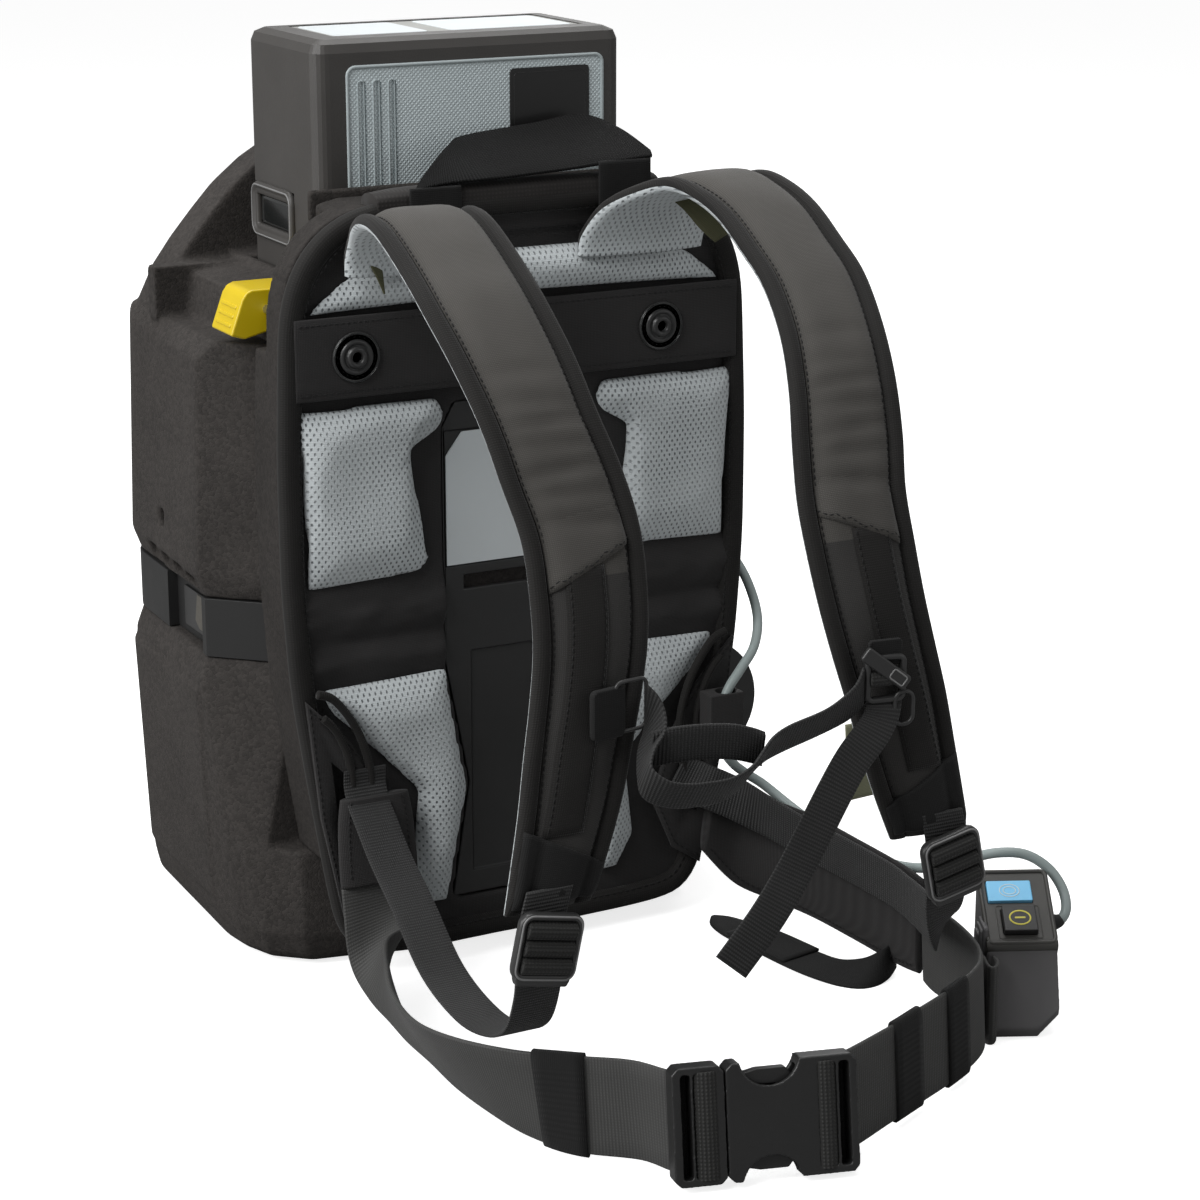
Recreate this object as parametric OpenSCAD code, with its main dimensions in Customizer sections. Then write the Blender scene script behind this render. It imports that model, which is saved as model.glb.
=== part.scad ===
// Backpack vacuum cleaner with a padded harness, a lift-out battery and a belt control.
// Heights are from the base. Depths are drawn from the wearer's face of the back panel
// (y = 0) and moved at the end, so that the origin is the middle of the flat base.

/* [Shells] */
// Half width of the foam shells beside the mid band
body_half_w = 159; // [152:1:166]
// Depth from the wearer's face of the panel to the rear of the shells
body_rear = 232; // [222:1:246]
// Height of the flat shoulders beside the battery
shoulder_z = 352; // [346:1:356]
// Height of the rear wall at its middle
rear_top_z = 452; // [446:1:462]
// Height of the front ledge behind the harness
ledge_z = 434; // [428:1:440]
// How far the rounded base edge is set in
base_round = 14; // [8:1:18]
// Radius of the rear corners
corner_r = 36; // [24:1:44]
// Depth at which the shells meet the carrier frame
frame_back = 46; // [42:1:50]

/* [Mid band] */
// Height of the lower edge of the plastic band
band_z = 172; // [166:1:176]
// Height of the plastic band
band_h = 34; // [30:1:38]
// How far the band is set in from the shells
band_inset = 4; // [3:1:6]
// Height of the chamfered shell rims above and below the band
rim_h = 14; // [10:1:18]
// Width of one vent tooth in the upper rim
vent_w = 17; // [12:1:20]
// Number of vent teeth on each side
vent_count = 4; // [3:1:5]

/* [Battery] */
// Width of the battery
battery_w = 186; // [170:1:190]
// Depth of the battery
battery_d = 97; // [88:1:100]
// Height of the battery
battery_h = 140; // [130:1:150]
// Corner radius of the battery
battery_r = 9; // [5:0.5:12]
// Clearance round the battery in its bay
bay_gap = 1.2; // [0.8:0.1:2.5]
// Depth of the pocket that the battery sits in
bay_sink = 12; // [8:1:16]
// Width of the charge window
window_w = 58; // [48:1:64]
// Height of the charge window
window_h = 30; // [24:1:34]

/* [Latches] */
// Width of the yellow release grip
latch_w = 30; // [24:1:34]
// Thickness of the release lever
latch_t = 6; // [4:0.5:8]
// Radius of the latch and lid pins
pin_r = 2.5; // [2:0.25:3]
// Radial clearance between a pin and its bore
pin_gap = 0.1; // [0.05:0.01:0.1]
// Gap between moving parts
run_gap = 0.6; // [0.4:0.1:1]

/* [Rear lid] */
// Width of the dust lid
lid_w = 200; // [170:2:220]
// Height of the dust lid
lid_h = 128; // [110:1:134]
// Height of the lower edge of the lid
lid_z = 26; // [22:1:32]
// Thickness of the lid panel
lid_t = 12; // [9:1:14]

/* [Inlet] */
// Radius of the swivel drum
drum_r = 38; // [32:1:42]
// Radius of the bore for the hose end
hose_r = 15.5; // [14:0.25:15.5]
// Depth of the bore for the hose end
hose_len = 34; // [26:1:40]
// Wall round the hose bore
hose_wall = 2.9; // [2:0.1:2.9]

/* [Fan] */
// Radius of the impeller
fan_r = 56; // [44:1:62]
// Height of the impeller blades
fan_blade_h = 12; // [8:1:16]
// Number of impeller blades
fan_blades = 9; // [6:1:12]
// Radius of the motor can
motor_r = 40; // [32:1:46]
// Height of the motor can
motor_h = 62; // [50:1:70]
// Radius of the motor shaft
shaft_r = 4; // [3:0.5:6]

/* [Harness] */
// Half width of the back panel at its widest
panel_half_w = 142; // [138:1:144]
// Width of the bound edge of the panel
binding_w = 6; // [5:0.5:8]
// Thickness of the padded panel and its edge
panel_t = 9; // [7:0.5:11]
// Width of the shoulder straps at the top
strap_w = 64; // [56:1:68]
// Thickness of the shoulder straps
strap_t = 11; // [8:0.5:13]
// Width of the belt and handle webbing
belt_w = 50; // [40:1:50]
// Thickness of the belt webbing
belt_t = 3; // [2:0.5:4]
// Width of the strap webbing
webbing_w = 25; // [20:1:30]
// Thickness of the strap webbing
webbing_t = 1.8; // [1.2:0.2:2.4]
// Radius of the press studs
stud_r = 13.5; // [10:0.5:16]

/* [Buckle] */
// Length of the side-release buckle
buckle_l = 92; // [84:1:98]
// Height of the side-release buckle
buckle_h = 58; // [55:1:62]
// Thickness of the side-release buckle
buckle_t = 13; // [11:0.5:15]

/* [Control unit] */
// Width of the belt control unit
unit_w = 38; // [34:1:42]
// Depth of the belt control unit
unit_d = 42; // [38:1:48]
// Height of its front edge
unit_front_h = 50; // [44:1:56]
// Height of its rear edge
unit_rear_h = 76; // [68:1:82]

/* [Hidden] */

$fn = 48;
soft_gap = 0.3;      // gap between a soft piece and its neighbour
fit_gap = 0.4;       // gap between rigid pieces that are assembled
base_mid = 120;      // depth of the middle of the base
foam = [0.17, 0.16, 0.15];
plastic = [0.16, 0.16, 0.165];
battery_grey = [0.24, 0.235, 0.23];
slate = [0.43, 0.48, 0.51];
yellow = [0.96, 0.86, 0.1];
fabric = [0.14, 0.135, 0.13];
pad_grey = [0.27, 0.26, 0.25];
mesh_grey = [0.65, 0.67, 0.68];
webbing = [0.1, 0.1, 0.1];
steel = [0.62, 0.63, 0.65];
knee_y = frame_back + 41;      // depth of the long vertical edge on each side
rear_taper = 3;                // how much narrower the shells are at their rear
shell_front = frame_back + fit_gap;
band_top = band_z + band_h;
rim_top = band_top + rim_h;
shell_top_inset = 7;           // draft of the upper shell up to its top
lower_draft = 5;               // draft of the lower shell down to its base
front_corner = [[body_half_w - 39, shell_front]];
toe_corner = [[106, 15], [131, 20], [149, 36], [156, 55]];
panel_top = ledge_z;
battery_z = 384 - bay_sink;
battery_y = 58.5;
bay_floor = battery_z - fit_gap;
pedestal_top = bay_floor + bay_sink;
pedestal_half = battery_w / 2 + bay_gap + 6;
bay_front = battery_y - bay_gap;
bay_rear = battery_y + battery_d + bay_gap;
rear_wall_y = bay_rear + 12;
motor_y = 142;
chamber_r = fan_r + 22;
chamber_top = 340;
toe_top = 68;
dust_z = 20;
dust_half = 118;
dust_y1 = body_rear - 26;
recess_x = body_half_w - band_inset - 8;
recess_y0 = knee_y + 6;
recess_y1 = 152;
lid_seal_t = 3;
lid_axis_y = body_rear - lid_t / 2;
lid_latch_w = 44;
latch_axis_z = lid_z + lid_h - 10;
latch_axis_y = body_rear - 3;
lid_pin_r = 1.4;
face_w = battery_w - 31.5;
face_h = battery_h - 22.5;
face_x = 3.25 - face_w / 2;
face_z = battery_z + 8;
plate_w = 48;
plate_x = face_x + face_w - 9 - plate_w;
plate_z = face_z + face_h - 48;
contact_y = battery_y + battery_d / 2;
window_y = battery_y + battery_d / 2 + 13;
window_z = battery_z + 40;
cell_r = 9;
cell_cols = floor((battery_w - 13) / (2 * cell_r + 0.4));
cell_rows = floor((battery_d - 13) / (2 * cell_r + 0.4));
latch_x = -127;
latch_z = 373;
latch_top = 384;
latch_y0 = frame_back + 4;
pin_end = latch_y0 + latch_w + 12;
latch_tip = battery_w / 2 + run_gap;
housing_z = band_top + 0.1;
fan_z = housing_z + 8;
housing_h = fan_blade_h + 22;
motor_z = housing_z + housing_h + 0.1;
duct_w = 46;
duct_h = 38;
duct_x0 = 100;
drum_x = 141;
drum_z = 111;
drum_y0 = frame_back + 1.5;
drum_y1 = drum_y0 + 37;
dust_y0 = drum_y1 + 12;
drum_mid = (drum_y0 + drum_y1) / 2;
stub_r = hose_r + hose_wall;
stub_z = 62;
strap_low = [[85, -189, 356, 0.97], [80, -203, 330, 1], [76, -214, 305, 0.98],
    [76.5, -223, 280, 0.97], [79, -230, 255, 0.95], [84, -234.5, 230, 0.93],
    [90, -238, 205, 0.9], [95.5, -240.5, 180, 0.86], [102, -242, 155, 0.8],
    [109, -243, 131, 0.72]];
strap_top_right = [[69, -6.9, 398, 1.2], [70, -10, 409, 1.2], [74, -20, 424, 1.12], [82, -36, 434, 1.04],
    [89, -56, 440, 1], [92, -78, 437, 0.97], [94, -100, 429, 0.95], [94, -124, 415.5, 0.94],
    [94, -146, 401, 0.94], [90, -170, 380, 0.94]];
strap_top_left = [[68, -6.9, 398, 1.18], [69, -10, 407, 1.18], [73, -20, 418, 1.12],
    [81, -38, 427, 1.06],
    [88, -60, 434, 1.03], [91, -80, 435, 1.02], [92, -98, 430, 1.02], [92, -124, 416.5, 1.02],
    [92, -146, 403, 1.02], [89, -170, 381, 1]];
lower_line = [[111.5, -250.6, 144], [115, -250.2, 129], [117, -249.6, 108],
    [115.5, -244, 88], [114, -230, 66],
    [112, -204, 52], [111, -168, 46], [109, -122, 52], [106, -80, 72], [103, -45, 96],
    [102, -24, 113], [101.5, -13, 121], [101, -6.8, 130], [100.5, -6.3, 138]];
lower_left = flip([for (s = lower_line) [s[0], s[1], s[2], 1, 0, 0, webbing_w]]);
lower_right = [for (s = [[111.5, -250.6, 144, 1, 0, 0], [115, -250.2, 129, 1, 0, 0],
    [117, -249.6, 108, 1, 0, 0], [119, -245, 90, 1, 0.1, 0], [125, -235, 74, 0.8, 0.35, 0.3],
    [136, -217, 63, 0.45, 0.4, 0.75], [147, -191, 58, 0.2, 0.25, 1],
    [153, -165, 57, 0.05, 0.12, 1], [155, -140, 58, 0, 0.05, 1], [152.4, -100, 59, 0, 0.03, 1],
    [148.2, -62, 60, 0, 0.05, 1], [140.5, -34, 65, 0.1, 0.1, 1], [128, -22, 73, 0.3, 0.12, 0.9],
    [119, -18, 78, 0.35, 0.1, 0.9], [111, -15.4, 82, 0.4, 0.05, 0.85],
    [102.5, -8.4, 86, 0.5, 0, 0.85], [94, -6.6, 89.5, 0.5, 0, 0.85]]) concat(s, webbing_w)];
chest_w = 20;
belt_right = [for (s = [[165, -160.6, 31], [164.5, -170, 29], [163, -192, 29],
    [159, -214, 29], [153, -232, 29],
    [143, -247, 29], [126, -260, 29], [104, -272, 29], [80, -283, 29], [52, -297, 30]])
    [s[0], s[1], s[2], 0, 0.1, 1, belt_w]];
belt_left = [[-97, -15.2, 61.6, 1, 0, 0, 46], [-97.3, -18, 48, 1, 0, 0.1, 46],
    [-98, -28, 27, 1, 0, 0.2, 48],
    [-101, -46, 12, 1, 0, 0.25, 50], [-105, -76, 9, 1, 0.05, 0.2, 50],
    [-106, -108, 8, 1, 0.1, 0.2, 50], [-104, -140, 8, 0.98, 0.2, 0.2, 50],
    [-98, -170, 10, 0.9, 0.4, 0.25, 50], [-92, -194, 14, 0.8, 0.5, 0.4, 50],
    [-90, -214, 21, 0.5, 0.4, 0.8, 50], [-88, -234, 27, 0.1, 0.2, 1, 50],
    [-83, -254, 29, 0, 0.15, 1, 50], [-76, -272, 30, 0, 0.2, 1, 50]];
buckle_at = [-27, -309.5, 31];
buckle_turn = -15.5;
buckle_lean = -12;
belt_fine_right = spline(concat(belt_right, [buckle_end(40), buckle_end(30)]), 3);
belt_fine_left = spline(concat(belt_left, [buckle_end(-42), buckle_end(-32)]), 3);
slot_h = belt_w + 1;
prong_t = 6;
prong_u = -16.2;
prong_w = 21;
unit_slope = atan2(unit_rear_h - unit_front_h, unit_d - 2);
cover_t = 3;
cover_l = (unit_d - 2) / cos(unit_slope);
cover_n = cover_t * cos(unit_slope) - 0.2;
cable_r = 2.8;
cable_route = [[122.6, 75.4, 216], [132, 66, 216], [141, 57, 216], [149, 46, 213], [154, 32, 203],
    [156, 18, 190], [154, 4, 174], [146, -6, 160], [134, -11, 149], [125, -13.5, 140],
    [120, -14.5, 129], [119.5, -15, 116], [121.5, -14.8, 103], [129, -12.2, 93],
    [139, -9.5, 84.5], [150.5, -11, 76], [159, -23, 67], [164, -42, 61], [167, -66, 58],
    [170, -96, 57], [173, -126, 60], [177, -150, 67], [184, -170, 77], [195, -183, 83.5],
    [208.5, -191, 83], [218.5, -199, 76], [222.5, -207, 66.5], [221, -213.5, 58],
    [216.5, -215.6, 52.5], [210.8, -213.2, 50.5]];

// Moves a piece from the wearer's face to the middle of the base
module placed() {
    translate([0, -base_mid, 0]) children();
}

// Turns a drawing in X and Z into a slab from depth y0 to y1
module slab_y(y0, y1) {
    translate([0, y1, 0]) rotate([90, 0, 0]) linear_extrude(y1 - y0) children();
}

function mirror_x(points) = [for (i = [len(points) - 1:-1:0]) [-points[i][0], points[i][1]]];
function both_sides(points) = concat(points, mirror_x(points));
function arc(cx, cy, r, a0, a1, n) =
    [for (i = [0:n]) let (a = a0 + (a1 - a0) * i / n) [cx + r * cos(a), cy + r * sin(a)]];
function unit(v) = v / norm(v);

// ---- Foam shells ----

// Outline of the shells from above, set in by the given amount
function shell_outline(inset, front) = let (
        half = body_half_w - inset,
        r = corner_r - inset,
        rear = body_rear - inset,
        side = half - rear_taper
    ) both_sides(concat(
        [for (p = front) [p[0] - inset, p[1] + inset]], [[half, knee_y]],
        arc(side - r, rear - r, r, 0, 90, 8)));

module shell_slice(z, inset, front = front_corner) {
    translate([0, 0, z]) linear_extrude(0.1) polygon(shell_outline(inset, front));
}

// Outline of the padded panel and the carrier frame from the front
module panel_outline(inset) {
    w = panel_half_w - inset;
    polygon(both_sides(concat(
        [[w - 70, 10 + inset], [w - 33, 12 + inset], [w - 25, 30 + inset], [w - 13, 110],
         [w - 4, 170], [w, 230], [w, 300], [w - 3, 378]],
        arc(w - 57, panel_top - 53 - inset, 53, 10, 84, 6))));
}

module carrier_frame() color(foam) placed() difference() {
    slab_y(panel_t + soft_gap, frame_back) intersection() {
        panel_outline(3);
        translate([-panel_half_w, toe_top + fit_gap])
            square([2 * panel_half_w, panel_top - toe_top]);
    }
    // the upper rear corners are cut back beside the latch
    for (side = [-1, 1])
        translate([side > 0 ? pedestal_half : -200, frame_back - 16, shoulder_z + 2])
            cube([200 - pedestal_half, 40, 100]);
    // bore for the front end of the latch pin
    translate([latch_x, frame_back - 22, latch_z]) rotate([-90, 0, 0]) cylinder(r = pin_r, h = 30);
    cable_notch();
}

// Notch in the edge of the frame where the cable comes out
module cable_notch() {
    translate([panel_half_w - 12, 4, 196]) cube([30, frame_back, 18]);
}

// Front view of the rear wall: an arch from shoulder to shoulder, shrunk by the inset
module rear_arch(inset) {
    k = 1 - inset / body_half_w;
    translate([0, rim_top]) scale([k, k]) polygon(both_sides([[body_half_w + 2, 0],
        [body_half_w + 2, 104], [154, 121], [146, 139], [137, 157], [125, 173], [112, 188],
        [99, 202], [84, 214], [62, rear_top_z - rim_top - 5], [32, rear_top_z - rim_top - 1]]));
}

module upper_blank() hull() {
    shell_slice(rim_top, 0);
    shell_slice(rear_top_z, shell_top_inset);
}

module upper_shell() color(foam) placed() difference() {
    union() {
        hull() {
            shell_slice(band_top + fit_gap, band_inset + 1);
            shell_slice(rim_top, 0);
        }
        intersection() {
            upper_blank();
            union() {
                // block with sloped shoulders
                slab_y(shell_front, body_rear) polygon(both_sides([
                    [body_half_w + 6, rim_top], [body_half_w + 6, shoulder_z - 24],
                    [body_half_w - 12, shoulder_z]]));
                // pedestal under the battery
                translate([-pedestal_half, shell_front, shoulder_z - 1])
                    cube([2 * pedestal_half, rear_wall_y - shell_front,
                        pedestal_top - shoulder_z + 1]);
                // front wall of the bay
                translate([-pedestal_half, shell_front, shoulder_z - 1])
                    cube([2 * pedestal_half, bay_front - shell_front, ledge_z - shoulder_z + 1]);
                // buttress behind the latch and the step behind it
                slab_y(knee_y, rear_wall_y) polygon(both_sides([[132, shoulder_z - 1],
                    [128, 376], [98, 381]]));
                slab_y(bay_rear, rear_wall_y) polygon(both_sides([[152, shoulder_z - 1],
                    [152, 381]]));
                hull() {
                    slab_y(rear_wall_y, body_rear - corner_r) rear_arch(0);
                    for (a = [30, 60, 90]) let (y = body_rear - corner_r * (1 - sin(a)))
                        slab_y(y - 1, y) rear_arch(corner_r * (1 - cos(a)));
                }
            }
        }
    }
    // battery bay
    translate([-battery_w / 2 - bay_gap, bay_front, bay_floor])
        cube([battery_w + 2 * bay_gap, bay_rear - bay_front, 200]);
    // way of the latch tongue
    translate([-pedestal_half - 1, latch_y0 - run_gap, latch_top - latch_t - 1.6])
        cube([12, latch_w + 2 * run_gap, 40]);
    // motor chamber, its neck to the band, and the well of the contact block
    translate([0, motor_y, band_top - 1]) cylinder(r = chamber_r, h = chamber_top - band_top + 1);
    translate([-32, contact_y - 14, chamber_top - 1]) cube([64, 28, bay_floor - chamber_top + 2]);
    // slot for the control board
    translate([-52, shell_front + 8, band_top + 40]) cube([104, 12, 66]);
    // gland and route of the cable on the right
    cable_port();
    // bore for the rear end of the latch pin
    translate([latch_x, latch_y0 - 10, latch_z]) rotate([-90, 0, 0])
        cylinder(r = pin_r, h = pin_end - latch_y0 + 10);
    for (side = [-1, 1]) {
        // vent teeth under the rim
        for (i = [0:vent_count - 1])
            translate([side * (body_half_w - 3), knee_y + 10 + i * (vent_w + 4), band_top + 1])
                cube([8, vent_w, rim_h - 3], center = false);
        // small square pocket low on each side
        translate([side * (body_half_w - 5), 150, band_top + 32])
            cube([14, 9, 10], center = true);
    }
}

module cable_port() {
    hull() for (p = [cable_route[0], cable_route[2]])
        translate(p) sphere(r = cable_r + soft_gap, $fn = 24);
}

module mid_band() color(plastic) placed() difference() {
    translate([0, 0, band_z]) linear_extrude(band_h)
        polygon(shell_outline(band_inset, front_corner));
    // hollow above the dust chamber, under the deck
    translate([-dust_half, dust_y0, band_z - 1])
        cube([2 * dust_half, dust_y1 - dust_y0, band_h - 7]);
    // air passage through the deck
    translate([0, motor_y, band_z]) cylinder(r = 46, h = 2 * band_h);
    // grip recess on each side, with the seat of the nameplate
    for (side = [-1, 1])
        translate([side * (recess_x + 10), (recess_y0 + recess_y1) / 2, band_z + band_h / 2])
            cube([20, recess_y1 - recess_y0, band_h + 2], center = true);
}

module nameplate() color(steel) placed()
    translate([-recess_x - 1.3, recess_y0 + 3, band_z + 5]) cube([1.2, 42, band_h - 10]);

module lower_shell() color(foam) placed() difference() {
    union() {
        difference() {
            hull() {
                shell_slice(0, base_round + lower_draft, toe_corner);
                shell_slice(2, base_round / 2 + lower_draft, toe_corner);
                shell_slice(base_round / 2, base_round / 5 + lower_draft, toe_corner);
                shell_slice(base_round + 6, lower_draft, toe_corner);
                shell_slice(band_z - rim_h, 0);
                shell_slice(band_z - fit_gap, band_inset + 1);
            }
            // the carrier frame stands in front, above the toe
            translate([-200, -50, toe_top]) cube([400, 50 + shell_front, 200]);
        }
        // raised panel on each side behind the knee
        for (side = [-1, 1])
            intersection() {
                hull() {
                    shell_slice(base_round + 12, lower_draft - 1.8);
                    shell_slice(band_z - rim_h - 4, -1.8);
                }
                translate([side > 0 ? 100 : -200, knee_y + 4, 26]) cube([100, 120, band_z - 46]);
            }
    }
    // dust chamber, open to the band and, through the lid opening, to the rear
    translate([-dust_half, dust_y0, dust_z])
        cube([2 * dust_half, dust_y1 - dust_y0, band_z]);
    translate([-lid_w / 2 + 10, body_rear - 40, lid_z + 14])
        cube([lid_w - 20, 60, lid_h - 24]);
    // seat of the lid
    translate([-lid_w / 2 - run_gap, body_rear - lid_t - lid_seal_t - 1, lid_z])
        cube([lid_w + 2 * run_gap, 40, lid_h + run_gap]);
    translate([0, lid_axis_y, lid_z]) rotate([0, 90, 0])
        cylinder(r = lid_t / 2 + run_gap, h = lid_w + 2 * run_gap, center = true);
    translate([-lid_w / 2 - run_gap, lid_axis_y, lid_z - lid_t / 2 - run_gap])
        cube([lid_w + 2 * run_gap, 40, lid_t]);
    translate([0, lid_axis_y, lid_z]) rotate([0, 90, 0])
        cylinder(r = pin_r, h = lid_w + 24, center = true);
    // seat of the lid latch
    translate([-lid_latch_w / 2 - run_gap, body_rear - 6, lid_z + lid_h - 20])
        cube([lid_latch_w + 2 * run_gap, 20, 60]);
    drum_seat();
    // passage from the drum into the chamber
    translate([duct_x0 - 1, drum_y1 - 1, drum_z - duct_h / 2])
        cube([duct_w + 1, 42, duct_h]);
}

// ---- Rear lid ----

module rear_lid() color(foam) placed() difference() {
    union() {
        slab_y(body_rear - lid_t, body_rear) polygon(both_sides(concat([[lid_w / 2, lid_z]],
            arc(lid_w / 2 - 14, lid_z + lid_h - 14, 14, 0, 90, 5))));
        translate([0, lid_axis_y, lid_z]) rotate([0, 90, 0])
            cylinder(r = lid_t / 2, h = lid_w, center = true);
    }
    translate([0, lid_axis_y, lid_z]) rotate([0, 90, 0])
        cylinder(r = pin_r + pin_gap, h = lid_w + 2, center = true);
    // shallow grip grooves
    for (i = [0:3])
        translate([0, body_rear + 2, lid_z + 26 + i * 18]) rotate([0, 90, 0])
            cylinder(r = 4, h = lid_w - 60, center = true);
    // seat and bore of the latch
    translate([-lid_latch_w / 2 - run_gap, body_rear - 6, latch_axis_z - 4])
        cube([lid_latch_w + 2 * run_gap, 10, 30]);
    translate([0, latch_axis_y, latch_axis_z]) rotate([0, 90, 0])
        cylinder(r = lid_pin_r + pin_gap, h = lid_latch_w + 12, center = true);
}

module lid_hinge_pin() color(steel) placed()
    translate([0, lid_axis_y, lid_z]) rotate([0, 90, 0])
        cylinder(r = pin_r, h = lid_w + 24, center = true);

module lid_latch() color(plastic) placed() {
    difference() {
        union() {
            slab_y(latch_axis_y - 2, latch_axis_y + 2) polygon(both_sides([
                [lid_latch_w / 2, latch_axis_z], [lid_latch_w / 2, band_z - 6],
                [lid_latch_w / 2 - 5, band_z - 1]]));
            translate([0, latch_axis_y, latch_axis_z]) rotate([0, 90, 0])
                cylinder(r = 2, h = lid_latch_w, center = true);
        }
        translate([0, latch_axis_y + 4, latch_axis_z + 12]) rotate([0, 90, 0])
            cylinder(r = 4, h = lid_latch_w - 14, center = true);
    }
    translate([0, latch_axis_y, latch_axis_z]) rotate([0, 90, 0])
        cylinder(r = lid_pin_r, h = lid_latch_w + 10, center = true);
}

module lid_seal() color([0.08, 0.08, 0.08]) placed()
    slab_y(body_rear - lid_t - lid_seal_t - 0.5, body_rear - lid_t - 0.5) difference() {
        translate([-lid_w / 2 + 2, lid_z + 7]) square([lid_w - 4, lid_h - 10]);
        translate([-lid_w / 2 + 8, lid_z + 13]) square([lid_w - 16, lid_h - 22]);
    }

// ---- Battery ----

module rounded_box(w, d, h, r) {
    linear_extrude(h) polygon(both_sides(concat(arc(w / 2 - r, r, r, -90, 0, 6),
        arc(w / 2 - r, d - r, r, 0, 90, 6))));
}

// A slab with rounded corners that stands on edge, its front face at y = 0
module standing_slab(w, h, t, r) {
    translate([w / 2, t, 0]) rotate([90, 0, 0]) linear_extrude(t)
        polygon(both_sides(concat(arc(w / 2 - r, r, r, -90, 0, 4),
            arc(w / 2 - r, h - r, r, 0, 90, 4))));
}

module battery_case() color(battery_grey) placed() difference() {
    translate([0, battery_y, battery_z]) {
        rounded_box(battery_w, battery_d, battery_h - 7, battery_r);
        hull() {
            translate([0, 0, battery_h - 7.1]) rounded_box(battery_w, battery_d, 0.1, battery_r);
            translate([0, 2, battery_h - 2.4])
                rounded_box(battery_w - 4, battery_d - 4, 0.1, battery_r - 2);
            translate([0, 7, battery_h - 0.1])
                rounded_box(battery_w - 14, battery_d - 14, 0.1, battery_r - 5);
        }
    }
    // hollow for the cells
    translate([-battery_w / 2 + 6, battery_y + 6, battery_z + 18])
        cube([battery_w - 12, battery_d - 12, battery_h - 25]);
    // well of the contacts in the underside
    translate([-24, contact_y - 10, battery_z - 1]) cube([48, 20, 15]);
    // seats of the face panel, the top plate and the window
    translate([face_x, battery_y - 1, face_z]) standing_slab(face_w, face_h, 2.5, 5);
    translate([-battery_w / 2 + 20, battery_y + 21, battery_z + battery_h - 1])
        cube([battery_w - 34, battery_d - 33, 2]);
    translate([-battery_w / 2 - 1, window_y - window_w / 2, window_z - window_h / 2])
        cube([5, window_w, window_h]);
}

module battery_face_panel() color(slate) placed() difference() {
    translate([face_x + 0.2, battery_y + 0.2, face_z + 0.2])
        standing_slab(face_w - 0.4, face_h - 0.4, 1.2, 4.8);
    for (i = [0:2])
        translate([face_x + 8 + i * 9, battery_y - 0.8, face_z + 10])
            standing_slab(3, face_h - 18, 1.6, 1.4);
    // seat of the plain plate on the right
    translate([plate_x, battery_y, plate_z]) cube([plate_w, 1, 42]);
}

module battery_label_plates() color([0.09, 0.09, 0.09]) placed() {
    translate([plate_x + 0.2, battery_y + 0.1, plate_z + 0.2]) cube([plate_w - 0.4, 0.8, 41.6]);
    translate([-battery_w / 2 + 20.2, battery_y + 21.2, battery_z + battery_h - 0.9])
        cube([battery_w - 34.4, battery_d - 33.4, 0.8]);
}

module battery_window_bezel() color(plastic) placed() difference() {
    translate([-battery_w / 2 + 0.2, window_y - window_w / 2 + 0.2, window_z - window_h / 2 + 0.2])
        cube([3, window_w - 0.4, window_h - 0.4]);
    translate([-battery_w / 2 - 1, window_y - window_w / 2 + 5, window_z - window_h / 2 + 5])
        cube([9, window_w - 10, window_h - 10]);
}

module battery_window() color([0.1, 0.12, 0.12]) placed()
    translate([-battery_w / 2 + 1.4, window_y - window_w / 2 + 5.2, window_z - window_h / 2 + 5.2])
        cube([1.6, window_w - 10.4, window_h - 10.4]);

module battery_cells() color([0.2, 0.45, 0.3]) placed()
    for (i = [0:cell_cols - 1], k = [0:cell_rows - 1])
        translate([(i - (cell_cols - 1) / 2) * (2 * cell_r + 0.4),
            contact_y + (k - (cell_rows - 1) / 2) * (2 * cell_r + 0.4), battery_z + 18.2])
            cylinder(r = cell_r, h = battery_h - 26, $fn = 12);

module battery_contacts() color(steel) placed()
    for (i = [-1:1])
        translate([i * 14, contact_y, battery_z + 1]) difference() {
            translate([-4, -8, 0]) cube([8, 16, 12.8]);
            translate([-1.6, -9, -1]) cube([3.2, 18, 13]);
        }

module contact_block() color(plastic) placed() {
    translate([-31.8, contact_y - 13.8, chamber_top]) cube([63.6, 27.6, bay_floor - chamber_top]);
    for (i = [-1:1])
        translate([i * 14 - 1, contact_y - 6, bay_floor - 1]) cube([2, 12, bay_sink]);
}

// ---- Battery release ----

module battery_latch() color(yellow) placed() difference() {
    slab_y(latch_y0, latch_y0 + latch_w) union() {
        polygon([[-latch_tip, latch_top], [-latch_tip, latch_top - latch_t],
            [latch_x - 1, latch_top - latch_t - 1], [latch_x - 9, latch_top - latch_t - 1],
            [latch_x - 16, latch_z - 15], [latch_x - 21, latch_z - 13],
            [latch_x - 14, latch_top - 5], [latch_x - 9, latch_top]]);
        translate([latch_x, latch_z]) circle(r = pin_r + 3);
        translate([latch_x - 2.5, latch_z]) square([5, latch_top - latch_z - 2]);
    }
    translate([latch_x, latch_y0 - 1, latch_z]) rotate([-90, 0, 0])
        cylinder(r = pin_r + pin_gap, h = latch_w + 2);
}

module latch_pin() color(steel) placed()
    translate([latch_x, frame_back - 22, latch_z]) rotate([-90, 0, 0])
        cylinder(r = pin_r, h = pin_end - frame_back + 22);

module latch_spring() color(steel) placed()
    translate([latch_x, latch_y0 + latch_w + 0.6, latch_z]) rotate([-90, 0, 0])
        for (i = [0:2])
            translate([0, 0, 1 + i * 1.7]) rotate_extrude() translate([pin_r + 1.4, 0])
                circle(r = 1, $fn = 16);

// ---- Fan and motor ----

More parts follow.
